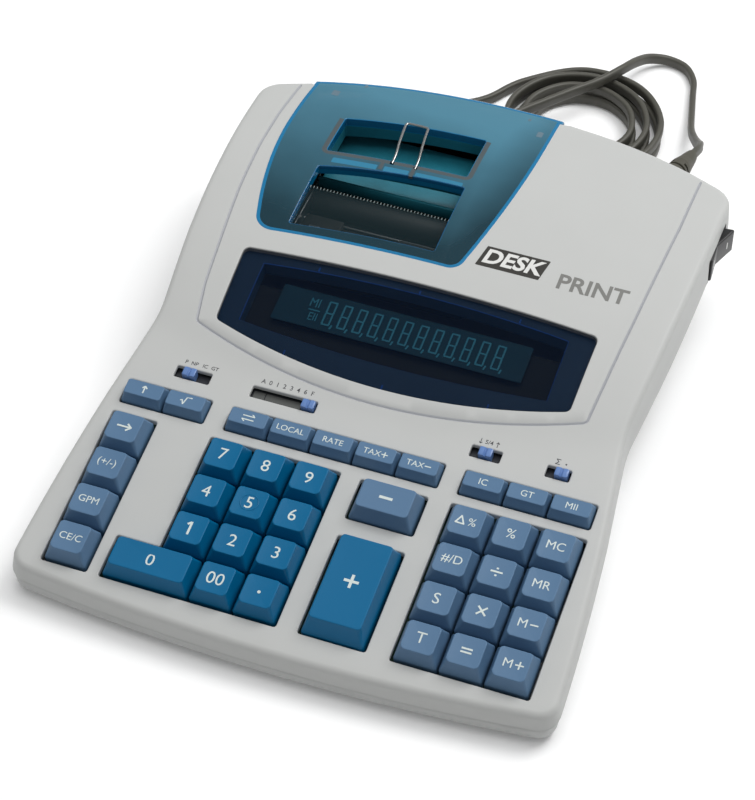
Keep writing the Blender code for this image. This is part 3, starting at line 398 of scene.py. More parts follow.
# Unit normals to the right of travel, which is outwards on an anticlockwise loop.
def outwards(loop, closed=True):
    if closed:
        along = np.roll(loop, -1, axis=0) - np.roll(loop, 1, axis=0)
    else:
        along = np.gradient(loop, axis=0)
    along = along / np.linalg.norm(along, axis=1)[:, None]
    return np.stack([along[:, 1], -along[:, 0]], axis=1)


# The loop moved outwards: each point goes along the mean of its two sides' normals, to the mitre's length.
def moved(loop, by):
    ahead = np.roll(loop, -1, axis=0) - loop
    ahead = ahead / np.linalg.norm(ahead, axis=1)[:, None]
    behind = np.roll(ahead, 1, axis=0)
    normal = np.stack([ahead[:, 1] + behind[:, 1], -ahead[:, 0] - behind[:, 0]], axis=1)
    normal = normal / np.linalg.norm(normal, axis=1)[:, None]
    reach = 1 / np.maximum(0.6, (normal * np.stack([ahead[:, 1], -ahead[:, 0]], axis=1)).sum(1))
    return loop + normal * (by * reach)[:, None]


# Even-odd rule: a point is inside where a ray to its right crosses the loop an odd number of times.
def inside(points, loop):
    x, y = points[:, 0][:, None], points[:, 1][:, None]
    x1, y1 = loop[:, 0], loop[:, 1]
    x2, y2 = np.roll(x1, -1), np.roll(y1, -1)
    crosses = (y1 > y) != (y2 > y)
    with np.errstate(divide="ignore", invalid="ignore"):
        hit = x < (x2 - x1) * (y - y1) / (y2 - y1) + x1
    return (crosses & hit).sum(axis=1) % 2 == 1


# A flat triangulated sheet inside the outer loop and outside the holes, with points on a square grid.
# Guide loops and lines are kept as edges. It gives points, triangles and each loop's point numbers.
def flatSheet(outer, holes, guides=(), lines=(), spacing=4.0):
    loops = [outer, *holes]
    low, high = outer.min(axis=0), outer.max(axis=0)
    gridX, gridY = np.meshgrid(np.arange(low[0], high[0], spacing), np.arange(low[1], high[1], spacing))
    grid = np.stack([gridX.ravel(), gridY.ravel()], axis=1)
    keep = inside(grid, outer)
    for hole in holes:
        keep &= ~inside(grid, hole)
    grid = grid[keep]
    for shape in [*loops, *guides, *lines]:
        far = np.ones(len(grid), bool)
        for part in np.array_split(shape, max(1, len(shape) // 200)):
            far &= (np.linalg.norm(grid[:, None] - part[None], axis=2) > spacing * 0.55).all(axis=1)
        grid = grid[far]
    chunks, edges, ids, start = [], [], [], 0
    for shape, shut in [(loop, True) for loop in [*loops, *guides]] + [(line, False) for line in lines]:
        numbers = np.arange(len(shape)) + start
        chunks.append(shape)
        pairs = np.stack([numbers, np.roll(numbers, -1)], axis=1)
        edges.append(pairs if shut else pairs[:-1])
        ids.append(numbers)
        start += len(shape)
    chunks.append(grid)
    flat = np.concatenate(chunks)
    result = delaunay_2d_cdt([Vector(p) for p in flat.tolist()], np.concatenate(edges).tolist(), [], 0, 1e-6,
                             True)
    points = np.array([list(p) for p in result[0]])
    triangles = np.array(result[2])
    place = np.empty(len(flat), int)
    for new, olds in enumerate(result[3]):
        place[olds] = new
    middles = points[triangles].mean(axis=1)
    keep = inside(middles, outer)
    for hole in holes:
        keep &= ~inside(middles, hole)
    triangles = triangles[keep]
    a, b, c = (points[triangles[:, i]] for i in range(3))
    turn = (b[:, 0] - a[:, 0]) * (c[:, 1] - a[:, 1]) - (b[:, 1] - a[:, 1]) * (c[:, 0] - a[:, 0])
    triangles[turn < 0] = triangles[turn < 0][:, ::-1]
    return points, triangles, [place[numbers] for numbers in ids]


# A closed shell from a flat sheet: the sheet lifted to its top, a copy lifted to its underside,
# and for each loop a band of rings that joins the two edges.
def shell(points, triangles, loopIds, topPoints, underPoints, bands, triangleKinds=None, bandKinds=None):
    count = len(points)
    allPoints = [topPoints, underPoints]
    faces = [list(face) for face in triangles] + [list(face) for face in triangles[:, ::-1] + count]
    kinds = [np.zeros(len(triangles), int) if triangleKinds is None else triangleKinds] * 2
    start = 2 * count
    for number, (ids, rings) in enumerate(zip(loopIds, bands)):
        size = len(ids)
        grid = [ids] + [np.arange(size) + start + size * row for row in range(len(rings))] + [ids + count]
        start += size * len(rings)
        allPoints += list(rings)
        for row, (one, two) in enumerate(zip(grid, grid[1:])):
            quads = np.stack([one, np.roll(one, -1), np.roll(two, -1), two], axis=1)
            faces += [list(face) for face in quads]
            kinds.append(np.full(size, 0 if bandKinds is None else bandKinds[number][row], int))
    return np.concatenate(allPoints), faces, np.concatenate(kinds)


def withZ(flat, z):
    return np.column_stack([flat, np.broadcast_to(z, len(flat))])


# A tube of constant section along a path; the section's second axis leans upwards.
def tubeAlong(path, section):
    along = np.gradient(path, axis=0)
    along = along / np.linalg.norm(along, axis=1)[:, None]
    lift = np.array([0, 0, 1.0]) - along[:, 2:] * along
    lift = lift / np.linalg.norm(lift, axis=1)[:, None]
    side = np.cross(along, lift)
    return path[:, None] + section[None, :, :1] * side[:, None] + section[None, :, 1:] * lift[:, None]


def fullTurn(steps):
    return np.arange(steps) * 2 * np.pi / steps


# A wave pulled towards a square one: the smaller the power, the squarer.
def squarer(wave, power):
    return np.sign(wave) * np.abs(wave) ** power


def circle(radius, steps):
    turn = fullTurn(steps)
    return np.stack([radius * np.cos(turn), radius * np.sin(turn)], axis=1)


# Points the given distance apart on a Catmull-Rom curve through the knots.
def smoothRoute(knots, spacing):
    knots = np.asarray(knots, float)
    padded = np.vstack([2 * knots[0] - knots[1], knots, 2 * knots[-1] - knots[-2]])
    a, b, c, d = (padded[i:len(padded) - 3 + i][:, None] for i in range(4))
    t = np.linspace(0, 1, 20, endpoint=False)[None, :, None]
    fine = 0.5 * (2 * b + (c - a) * t + (2 * a - 5 * b + 4 * c - d) * t**2 + (3 * b - a - 3 * c + d) * t**3)
    fine = np.vstack([fine.reshape(-1, 3), knots[-1]])
    walked = np.concatenate([[0], np.cumsum(np.linalg.norm(np.diff(fine, axis=0), axis=1))])
    at = np.linspace(0, walked[-1], round(walked[-1] / spacing) + 1)
    return np.stack([np.interp(at, walked, fine[:, axis]) for axis in range(3)], axis=1)


# A profile of (along, radius) turned about +X.
def lathed(profile, steps=32):
    profile = np.asarray(profile, float)
    ring = circle(1.0, steps)
    return np.concatenate(
        [np.broadcast_to(profile[:, None, :1], (len(profile), steps, 1)), profile[:, None, 1:] * ring[None]],
        axis=2)


def placed(solid, matrix):
    points, faces = solid
    turned = np.array(matrix)
    return points @ turned[:3, :3].T + turned[:3, 3], faces


# ---- floor and cord


def addFloor():
    mesh = bpy.data.meshes.new("floor")
    mesh.from_pydata([(-6, -6, 0), (6, -6, 0), (6, 6, 0), (-6, 6, 0)], [], [(0, 1, 2, 3)])
    mesh.materials.append(floorFinish)
    linked("floor", mesh)


caseSize = {
    "frontY": -157.8, "rearY": 157.8, "height": 59.3,
    "frontHalf": 118.3, "waistHalf": 106.3, "rearHalf": 113.5,
    "frontBow": 7.4, "rearBow": 28.1, "rearBowPower": 2.2,
    "waistY": -13.5, "sideBulge": 2.0,
    "frontCorner": 9.5, "rearCorner": 14.5, "waistBlend": 60.0,
    "deckTilt": math.radians(10.0), "deckFrontZ": 16.1,
    "foldY": -38.8, "foldBow": 18.7, "foldSoft": 0.8,
    "crestY": 87.5, "rearFall": 0.0015,
    "seamFrontZ": 8.3, "seamSlope": 0.123, "leanPerMm": 0.28, "leanLess": 1.3,
    "wall": 2.2,
}
cordSize = {
    "wide": 5.5, "thick": 3.3, "waist": 0.13,
    "coilX": 20.0, "coilY": 209.0,
    # turns wound, radius and height
    "coil": ((0.0, 44.4, 3.0), (0.28, 38.6, 3.05), (1.0, 36.6, 3.05), (1.3, 33.0, 3.05), (2.0, 30.2, 3.05),
             (2.35, 25.8, 3.05), (2.75, 24.0, 3.3), (3.05, 24.0, 8.6), (3.5, 26.6, 8.65), (4.0, 29.6, 8.65),
             (4.5, 34.4, 8.65), (4.9, 36.8, 8.65), (5.25, 38.2, 8.6), (5.5, 42.6, 6.2), (5.64, 44.2, 3.3),
             (5.7158, 44.3, 3.0)),
    "lead": ((82.9, 178.6, 31.2), (83.9, 184.4, 30.0), (83.6, 191.4, 26.4), (81.4, 200.0, 19.6),
             (77.4, 210.5, 12.8), (72.6, 223.0, 7.6), (68.8, 239.0, 4.2), (65.4, 254.0, 3.1),
             (62.5, 265.6, 2.9), (56.0, 274.3, 2.9), (46.0, 276.4, 3.6), (37.6, 270.6, 6.6),
             (33.4, 259.0, 11.6), (29.6, 247.6, 14.6), (21.6, 234.4, 14.6), (11.2, 222.0, 14.6),
             (1.0, 209.4, 14.6), (-9.0, 196.6, 14.6), (-16.4, 185.8, 13.6), (-18.2, 176.0, 8.4),
             (-12.4, 167.6, 4.0), (-1.6, 164.6, 3.0), (12.6, 164.8, 3.0)),
    "tail": ((-28.4, 217.0, 3.0), (-37.0, 208.4, 3.6), (-44.6, 201.2, 6.4), (-49.4, 197.0, 6.85)),
}
deckMiddleY = -77.5
plugSize = {"long": 36.0, "wide": 35.3, "thick": 13.7, "pinLong": 19.0, "pinsApart": 18.6}
bootSize = {"exitX": 77.0, "exitZ": 38.0, "ribs": 2.9, "ribDeep": 1.25}


def rearEdge(x):
    return caseSize["rearY"] - caseSize["rearBow"] * (np.abs(x) / caseSize["rearHalf"]) ** caseSize["rearBowPower"]


def seamZ(y):
    return caseSize["seamFrontZ"] + caseSize["seamSlope"] * (y - caseSize["frontY"])


def lean(y):
    return np.maximum(1.0, caseSize["leanPerMm"] * seamZ(y) - caseSize["leanLess"])


# The coil: radius and height are read off the table of turns, then smoothed over a twelfth of a turn.
def coilRoute():
    table = np.array(cordSize["coil"])
    turns = np.linspace(0, table[-1, 0], 300)
    pad = np.ones(9) / 9
    radius = np.interp(turns, table[:, 0], table[:, 1])
    height = np.interp(turns, table[:, 0], table[:, 2])
    inner = slice(4, -4)
    radius[inner] = np.convolve(radius, pad, "valid")
    height[inner] = np.convolve(height, pad, "valid")
    coilX, coilY = cordSize["coilX"], cordSize["coilY"]
    leadX, leadY = cordSize["lead"][-1][:2]
    angle = math.atan2(leadY - coilY, leadX - coilX) + turns * 2 * np.pi
    return np.stack([coilX + radius * np.cos(angle), coilY + radius * np.sin(angle), height], axis=1)


# Two-core section: a rounded oblong drawn in a little at its middle.
def cordSection():
    turn = fullTurn(20)
    wide = squarer(np.cos(turn), 0.7) * cordSize["wide"] / 2
    thick = squarer(np.sin(turn), 0.7) * cordSize["thick"] / 2
    thick = thick * (1 - cordSize["waist"] * np.exp(-((wide / 0.8) ** 2)))
    return np.stack([thick, wide], axis=1)[::-1]


def plugMatrix():
    end, before = (Vector(point) for point in (cordSize["tail"][-1], cordSize["tail"][-2]))
    heading = (end - before).to_2d().normalized()
    start = end + Vector((*heading, 0)) * 0.6
    return Matrix.Translation(start) @ Matrix.Rotation(math.atan2(heading.y, heading.x), 4, "Z")


# The plug's body: oblong sections whose width and thickness follow the table along its length.
def addPlug():
    table = np.array([(0, 4.6, 4.4), (3, 4.9, 4.7), (7, 6.2, 5.3), (11, 9.6, 6.0), (15, 13.4, 6.6),
                      (20, 15.6, 6.85),
                      (26, 16.8, 6.85), (32, 17.4, 6.8), (34.6, 17.2, 6.4), (35.8, 16.2, 5.6), (36, 15.0, 5.0)])
    along = np.concatenate([np.linspace(0, 34, 60), np.linspace(34.3, 36, 8)])
    wide = np.interp(along, table[:, 0], table[:, 1])
    thick = np.interp(along, table[:, 0], table[:, 2])
    grip = 0.35 * np.clip(np.sin(along * 2 * np.pi / 2.4), -0.4, 1) * ((along > 15) & (along < 30))
    turn = fullTurn(48)
    across, upward = squarer(np.cos(turn), 0.55), squarer(np.sin(turn), 0.55)
    sideways = np.abs(np.cos(turn)) ** 2
    rings = np.stack([np.broadcast_to(along[:, None], (len(along), 48)),
                      (wide[:, None] - grip[:, None] * sideways) * across,
                      thick[:, None] * upward + plugSize["thick"] / 2 - 6.85], axis=2)
    matrix = plugMatrix()
    body = placed(swept(rings), matrix)
    plug = newPiece("plugBody", *body, finishes["plug"], "case", ["mains_plug"], "plug")
    reach = plugSize["long"] + plugSize["pinLong"]
    solids, sleeves = [], []
    for side in (-1, 1):
        pin = lathed([(35, 2.0), (reach - 1.2, 2.0), (reach - 0.5, 1.7), (reach - 0.1, 1.0), (reach, 0.3)], 24)
        sleeve = lathed([(35.2, 2.5), (35.9, 2.5), (36.4, 2.12), (45.6, 2.12), (46, 2.02)], 24)
        shift = Matrix.Translation((0, side * plugSize["pinsApart"] / 2, 0))
        for rings, kept in ((pin, solids), (sleeve, sleeves)):
            kept.append(placed(swept(rings), matrix @ shift))
    pins = newPiece("plugPins", *joined(*solids), finishes["nickel"], "case")
    collars = newPiece("plugPinSleeves", *joined(*sleeves), finishes["tie"], "case")
    return [plug, pins, collars]


def bootMatrix():
    edge = rearEdge(bootSize["exitX"])
    root = Vector((bootSize["exitX"], edge - lean(edge) * 0.2, bootSize["exitZ"]))
    tip = Vector(cordSize["lead"][0])
    return Matrix.Translation(root) @ (tip - root).to_track_quat("X", "Z").to_matrix().to_4x4(), (tip - root).length


# The strain relief: radius falls along it, and staggered slots are cut where two waves, one along it
# and one round it, agree.
def addBoot():
    matrix, reach = bootMatrix()
    reach -= 0.3
    along = np.concatenate([[-7.5, -7.4, -5.6, -5.5], np.linspace(-5.4, reach - 1.5, 150),
                            np.linspace(reach - 1.3, reach, 8)])
    table = np.array([(-7.5, 5.6), (-7.4, 6.3), (-5.6, 6.3), (-5.5, 3.9), (3.0, 3.9), (3.3, 5.9), (3.9, 6.3),
                      (reach * 0.6, 5.6), (reach * 0.75, 4.6), (reach - 3, 3.9), (reach - 0.8, 3.5),
                      (reach, 2.7)])
    radius = np.interp(along, table[:, 0], table[:, 1])
    turn = fullTurn(64)
    wave = (along - 5.4) / bootSize["ribs"]
    row = np.floor(wave)
    slotAlong = np.clip((0.24 - np.abs(wave - row - 0.5)) * 12, 0, 1) * ((wave > 0) & (wave < 4.99))
    slotRound = np.clip((np.cos(2 * turn[None] + np.pi * (row[:, None] % 2)) + 0.55) * 6, 0, 1)
    cut = bootSize["ribDeep"] * slotAlong[:, None] * slotRound
    size = radius[:, None] - cut
    flat = np.interp(along, [4, reach - 6, reach], [1.0, 0.86, 0.74])[:, None]
    rings = np.stack([np.broadcast_to(along[:, None], size.shape), size * np.cos(turn) * flat,
                      size * np.sin(turn)], axis=2)
    newPiece("strainRelief", *placed(swept(rings), matrix), finishes["boot"], "case", ["strain_relief"],
             "strain_relief", sharp=50)


# The tie: a flat band round the coil's section, drawn as an oblong in radius and height at one bearing.
def addTie():
    bearing = math.radians(205)
    loop = roundedRect(9.6, 6.3, 3.0, 8) + [32.0, 6.9]
    loop = np.vstack([loop, loop[:1]])
    outward, upward = np.array([math.cos(bearing), math.sin(bearing), 0]), np.array([0, 0, 1.0])
    across = np.array([-math.sin(bearing), math.cos(bearing), 0])
    path = loop[:, :1] * outward + loop[:, 1:] * upward + [cordSize["coilX"], cordSize["coilY"], 0]
    normals = outwards(loop)
    normal = normals[:, :1] * outward + normals[:, 1:] * upward
    corners = np.array([(-1.6, 0), (1.6, 0), (1.6, 0.5), (-1.6, 0.5)])
    rings = path[:, None] + corners[None, :, :1] * across + corners[None, :, 1:] * normal[:, None]
    faces = [list(face) for face in ringFaces(len(rings), 4)]
    solids = [(rings.reshape(-1, 3), faces)]
    top = cordSize["coilX"] + 32 * outward[0], cordSize["coilY"] + 32 * outward[1], 13.9
    step = np.linspace(0, 1, 30)
    for phase in (0, np.pi):
        twist = np.stack([top[0] + (0.5 * np.cos(step * 20 + phase)) + step * 7 * outward[0],
                          top[1] + (0.5 * np.sin(step * 20 + phase)) + step * 7 * outward[1],
                          top[2] + 0.6 * np.sin(step * 3)], axis=1)
        solids.append(swept(tubeAlong(twist, circle(0.45, 8))))
    return newPiece("cordTie", *joined(*solids), finishes["tie"], "case")


def addCord():
    knots = np.vstack([np.array(cordSize["lead"]), coilRoute()[3::6], np.array(cordSize["tail"])])
    route = smoothRoute(knots, 1.6)
    cord = newPiece("powerCord", *swept(tubeAlong(route, cordSection())), finishes["cord"], "case",
                    ["power_cord", "cord_coil", "cord_tail"],
                    "cord", sharp=60)
    going = [*addPlug(), addTie()]
    addBoot()


print("stage: floor and cord")
addFloor()
addCord()


# ---- the case's surfaces


def frontEdge(x):
    return caseSize["frontY"] + caseSize["frontBow"] * (x / caseSize["frontHalf"]) ** 2


def deckZ(y):
    return caseSize["deckFrontZ"] + math.tan(caseSize["deckTilt"]) * (y - caseSize["frontY"])


# The top: the greater of a tilted plane and a parabola in y, with a soft fold, then a shallow fall.
def topZ(x, y):
    x, y = np.asarray(x, float), np.asarray(y, float)
    fold = caseSize["foldY"] + caseSize["foldBow"] * (x / caseSize["waistHalf"]) ** 2
    crest = caseSize["crestY"]
    rise = (caseSize["height"] - deckZ(fold)) / (crest - fold) ** 2
    hump = caseSize["height"] - rise * (crest - y) ** 2
    deck = deckZ(y)
    soft = (hump + deck + np.sqrt((hump - deck) ** 2 + caseSize["foldSoft"] ** 2)) / 2
    rear = caseSize["height"] - caseSize["rearFall"] * (y - crest) ** 2
    return np.where(y > crest, rear, np.where(y > 40, hump, soft))


def topAt(flat):
    return topZ(flat[:, 0], flat[:, 1])


def onTop(flat, lift=0.0):
    return withZ(flat, topAt(flat) + lift)


# Deck coordinates: u to the right, v up the deck, h out of it, from a point in the number keys' top row.
def onDeck(u, v, h=0.0):
    u, v, h = np.broadcast_arrays(np.asarray(u, float), np.asarray(v, float), np.asarray(h, float))
    cos, sin = math.cos(caseSize["deckTilt"]), math.sin(caseSize["deckTilt"])
    return np.stack([u, deckMiddleY + v * cos - h * sin, deckZ(deckMiddleY) + v * sin + h * cos], axis=-1)


def deckY(v):
    return deckMiddleY + v * math.cos(caseSize["deckTilt"])


# A side between two points, bulging outwards by a parabola.
def bulging(start, end, count):
    t = np.linspace(0, 1, count + 1)[1:-1]
    across = start[0] + (end[0] - start[0]) * t + 4 * caseSize["sideBulge"] * t * (1 - t)
    return np.stack([across, start[1] + (end[1] - start[1]) * t], axis=1)


def caseOutline():
    size = caseSize
    front = (size["frontHalf"], float(frontEdge(size["frontHalf"])))
    rear = (size["rearHalf"], float(rearEdge(size["rearHalf"])))
    waist = (size["waistHalf"], size["waistY"])
    acrossFront = np.linspace(0, size["frontHalf"], 20)[:-2]
    right = [(x, frontEdge(x), 0) for x in acrossFront] + [(*front, size["frontCorner"])]
    right += [(x, y, 0) for x, y in bulging(front, waist, 24)[2:-7]] + [(*waist, size["waistBlend"])]
    right += [(x, y, 0) for x, y in bulging(waist, rear, 26)[6:-4]] + [(*rear, size["rearCorner"])]
    right += [(x, rearEdge(x), 0) for x in np.linspace(size["rearHalf"], 0, 40)[7:]]
    left = [(-x, y, radius) for x, y, radius in right[-2:0:-1]]
    return refined(rounded(right + left, 14), 3.0)


lidSize = {
    "left": -92.4, "right": 25.3, "frontY": 39.0, "thick": 2.0, "gap": 0.4,
    "chuteLeft": -67.5, "chuteRight": -2.5, "chuteFromRear": 32.7, "chuteFrontY": 96.3,
    "exitLeft": -67.3, "exitRight": -1.0, "exitFromRear": 69.0, "exitFrontY": 47.0,
    "standLeft": -36.9, "standRight": -26.0, "standY": 93.0, "standReach": 27.2,
}


def lidLeft(y):
    return lidSize["left"] + (0.0022 if y < 105 else 0.0009) * (105 - y) ** 2


def lidRight(y):
    return lidSize["right"] - 0.00138 * max(0.0, 134 - y) ** 2


def lidFront(x):
    return lidSize["frontY"] - 2.5 * (x / 60) ** 2


# The lid's edge from its rear right corner, round its front, to its rear left corner.
def lidPath(rearInset):
    rightX = lidRight(lidSize["frontY"])
    leftX = lidLeft(lidSize["frontY"] - 4)
    startY = float(rearEdge(lidSize["right"])) - rearInset
    endX = lidLeft(140.8)
    endY = float(rearEdge(endX)) - rearInset
    path = [(lidRight(startY), startY, 0)]
    path += [(lidRight(y), y, 0) for y in np.linspace(startY, lidSize["frontY"] + 14, 22)[1:]]
    path.append((rightX, lidFront(rightX), 8))
    path += [(x, lidFront(x), 0) for x in np.linspace(rightX - 12, -70, 14)]
    path.append((leftX, lidFront(leftX), 10))
    path += [(lidLeft(y), y, 0) for y in np.linspace(lidSize["frontY"] + 12, endY, 20)]
    return refined(rounded(path, 12, False), 2.5, False)


windowSize = {"half": 81.0, "rearY": 28.2, "frontY": -26.0, "rearBow": 3.5, "frontBow": 13.3, "corner": 3.0}


def windowOutline():
    half = windowSize["half"]
    rear = [(x, windowSize["rearY"] - windowSize["rearBow"] * (x / half) ** 2,
             0) for x in np.linspace(1, -1, 21) * half]
    front = [(x, windowSize["frontY"] + windowSize["frontBow"] * (x / half) ** 2, 0)
             for x in np.linspace(-1, 1, 31) * (half - 1)]
    corners = front + rear
    radius = windowSize["corner"]
    for index in (0, 30, 31, 51):
        corners[index] = (*corners[index][:2], radius)
    drop = {1, 29, 32, 50}
    return rounded([corner for index, corner in enumerate(corners) if index not in drop], 6)


keySize = {
    "pitch": 19.0, "base": 18.0, "top": 13.4, "topDeep": 13.0, "rise": 6.8, "skirt": 5.5, "margin": 1.3,
    "topRowV": -1.0, "leftU": -94.4, "numberU": -49.7, "rightU": 57.05,
    "smallBase": (18.2, 11.2), "smallTop": (16.2, 6.9), "smallRise": 4.5, "smallV": 20.3, "smallMargin": 0.7,
    "stripShift": 2.8, "bigRise": 7.5,
    "bigMargin": 1.35, "minusBase": (27.2, 18.6), "minusTop": (22.3, 13.4), "minusPlace": (22.2, -1.2),
    "plusBase": (26.5, 47.0), "plusTop": (21.9, 40.3), "plusPlace": (22.2, -43.8),
    "openingCorner": 1.2, "lip": 0.55,
}
slotList = {  # slot's ends, knob's place
    "slider_print_mode": (-87.0, -70.9, -80.4),
    "slider_decimal": (-52.2, -22.7, -26.2),
    "slider_rounding": (46.0, 59.4, 52.7),
    "slider_sum": (79.0, 89.6, 85.8),
}
slotV, slotDeep = 36.4, 5.8


def boxCorners(left, right, low, high, radius):
    return [(left, low, radius), (right, low, radius), (right, high, radius), (left, high, radius)]


# Openings in the deck, as corner lists in u and v.
def openingCorners():
    size = keySize
    half = size["base"] / 2 + size["margin"]
    corner = size["openingCorner"]
    top = size["topRowV"] + half
    bottom = size["topRowV"] - 3 * size["pitch"] - half
    numberLeft, numberRight = size["numberU"] - half, size["numberU"] + 2 * size["pitch"] + half
    zeroLeft, zeroTop = numberLeft - size["pitch"], bottom + 2 * half
    shapes = [
        boxCorners(size["leftU"] - half, size["leftU"] + half, bottom, top, corner),
        [(zeroLeft, bottom, corner), (numberRight, bottom, corner), (numberRight, top, corner),
         (numberLeft, top, corner), (numberLeft, zeroTop, 0.8), (zeroLeft, zeroTop, corner)],
        boxCorners(size["rightU"] - half, size["rightU"] + 2 * size["pitch"] + half, bottom, top, corner),
    ]
    strips = [((size["leftU"], size["smallV"]), size["smallBase"], 1),
              ((size["numberU"] + size["stripShift"], size["smallV"]), size["smallBase"], 4),
              ((size["rightU"], size["smallV"]), size["smallBase"], 2),
              (size["minusPlace"], size["minusBase"], 0), (size["plusPlace"], size["plusBase"], 0)]
    for (u, v), (wide, deep), more in strips:
        halfWide = wide / 2 + (size["smallMargin"] if more else size["bigMargin"])
        halfDeep = deep / 2 + size["smallMargin"]
        shapes.append(boxCorners(u - halfWide, u + halfWide + more * size["pitch"], v - halfDeep,
                                 v + halfDeep, corner))
    return shapes


def slotCorners():
    return [boxCorners(left, right, slotV - slotDeep / 2, slotV + slotDeep / 2, 0.8)
            for left, right, _ in slotList.values()]


def deckLoop(corners):
    loop = rounded(corners, 6)
    return np.stack([loop[:, 0], deckY(loop[:, 1])], axis=1)


edgeSize = {"inset": 3.7, "fillet": 2.9, "steps": 7, "lidLip": 0.6, "lidWall": 8.0, "groove": 0.62,
            "grooveDeep": 0.55}


def grooveLine():
    left = [(-96, 135.7), (-97.3, 109), (-97.3, 84), (-95.9, 56), (-92.8, 24.6), (-90.8, 1.9)]
    front = [(x, -33.3 + 17 * (x / 87) ** 2) for x in np.linspace(-86.2, 86.8, 25)]
    right = [(90.1, 4), (92.9, 38), (94.9, 69.6), (96.3, 97), (96.5, 135)]
    corner = [(*left[0], 0)] + [(x, y, 150) for x, y in left[1:-1]] + [(*left[-1], 30)]
    corner += [(front[0][0] - 1.4, front[0][1] + 1.0, 1.6)] + [(x, y, 0) for x, y in front]
    corner += [(front[-1][0] + 1.6, front[-1][1] + 1.2, 1.6), (*right[0], 30)]
    corner += [(x, y, 150) for x, y in right[1:-1]] + [(*right[-1], 0)]
    return refined(rounded(corner, 6, False), 2.5, False)


# Rings for a hole: a rounded lip that turns down into it, then its wall.
def holeBand(loop, lip, depth, steps=4):
    turn = np.linspace(0, np.pi / 2, steps + 1)[1:]
    rings = []
    for inward, drop in zip(lip * np.sin(turn), lip * (1 - np.cos(turn))):
        rings.append(onTop(moved(loop, -inward), -drop))
    wall = moved(loop, -lip)
    return [*rings, onTop(wall, -depth)]


def addUpperCase():
    outline = caseOutline()
    inset = edgeSize["inset"]
    # the notch for the lid replaces the rear stretch of the outline
    lid = lidPath(inset)
    lidNormal = -outwards(lid, False)
    gap = lidSize["gap"]
    notch = lambda away: lid - lidNormal * (gap + away)
    keep = ~((outline[:, 1] > 100) & (outline[:, 0] < lid[0, 0] + 1.2) & (outline[:, 0] > lid[-1, 0] - 1.2))
    first = int(np.argmax(~keep))
    order = np.arange(len(outline))
    order = np.concatenate([order[first:], order[:first]])
    order = order[keep[order]]
    inwardLoops = lambda by: moved(outline, -by)[order]
    steps = edgeSize["steps"]
    turn = np.linspace(0, np.pi / 2, steps + 1)[1:]
    topLoop = np.vstack([inwardLoops(inset), notch(edgeSize["lidLip"])])
    rings = []
    for sine, cosine in zip(np.sin(turn), np.cos(turn)):
        outer = inwardLoops(inset - edgeSize["fillet"] * sine)
        inner = notch(edgeSize["lidLip"] * (1 - sine))
        drop = np.concatenate([np.full(len(outer), edgeSize["fillet"] * (1 - cosine)),
                               np.full(len(inner), edgeSize["lidLip"] * (1 - cosine))])
        rings.append(onTop(np.vstack([outer, inner]), -drop))
    outer, inner = inwardLoops(0.0), notch(0.0)
    seam = seamZ(outer[:, 1])
    low = topAt(inner) - edgeSize["lidWall"]
    rings.append(np.vstack([withZ(outer, seam + 0.5), withZ(inner, low + 0.3)]))
    rings.append(np.vstack([withZ(inwardLoops(0.35), seam), withZ(notch(0.2), low)]))
    rings.append(np.vstack([withZ(inwardLoops(2.2), seam), withZ(notch(1.6), low)]))
    rings.append(np.vstack([onTop(inwardLoops(2.9), -4.2), onTop(notch(1.6), -3.0)]))
    lip = keySize["lip"]
    openings = [deckLoop(corners) for corners in openingCorners()]
    slots = [deckLoop(corners) for corners in slotCorners()]
    window = windowOutline()
    holes, bands = [], []
    cuts = [(loop, lip, 2.4) for loop in openings] + [(loop, 0.5, 1.7) for loop in slots] + [(window, 0.45,
                                                                                              2.4)]
    for loop, size, depth in cuts:
        loop = refined(moved(refined(loop, 3.0), size), 60)
        holes.append(loop)
        bands.append(holeBand(loop, size, depth))
    guides = [moved(hole, 0.35) for hole in holes]
    middle = grooveLine()
    side = outwards(middle, False) * edgeSize["groove"]
    lines = [middle, middle + side, middle - side]
    points, triangles, ids = flatSheet(topLoop, holes, guides, lines, 4.0)
    top, under = onTop(points), onTop(points, -caseSize["wall"])
    centre = ids[1 + len(holes) + len(guides)]
    top[centre[1:-1], 2] -= edgeSize["grooveDeep"]
    grooveSet = np.zeros(len(points), bool)
    grooveSet[centre] = True
    # faces touching the groove's middle line take the darker finish, painted shade in the groove
    kinds = grooveSet[triangles].any(axis=1).astype(int)
    loops = ids[:1 + len(holes)]
    allPoints, faces, faceKinds = shell(points, triangles, loops, top, under, [rings, *bands], kinds)
    half = len(triangles)
    faceKinds[half:2 * half] = 0
    return newPiece("caseTop", allPoints, faces, [finishes["caseTop"], finishes["groove"]], "case",
                    ["upper_case"],
                    "case_top", faceKinds, 32)


# The tray: the outline leaning in towards its foot by an amount that grows with the seam's height.
def addLowerCase():
    outline = caseOutline()
    seam = seamZ(outline[:, 1]) - 0.3
    step = outline - moved(outline, -1.0)

    def ring(height, inwards):
        leanIn = lean(outline[:, 1]) * (1 - height / seam)
        return withZ(outline - step * (leanIn + inwards)[:, None], height)

    foot, wall = 1.5, caseSize["wall"]
    low = np.full(len(outline), foot)
    rings = [ring(low + wall, wall + 0.4), ring(low + wall + 1, wall), ring(seam, wall), ring(seam, 0.55),
             ring(seam - 0.4, 0.3), ring((seam + foot) / 2, 0.3), ring(low + 2.6, 0.3)]
    turn = np.linspace(0, np.pi / 2, 5)[1:]
    rings += [ring(low + 2.6 * (1 - np.sin(a)), 0.3 + 2.6 * (1 - np.cos(a))) for a in turn]
    rings.append(ring(low, 6.0))
    rings.append(ring(low + 0.6, 6.6))
    return newPiece("caseBase", *swept(np.stack(rings)), finishes["caseBase"], "case", ["lower_case"],
                    "case_base", sharp=34)


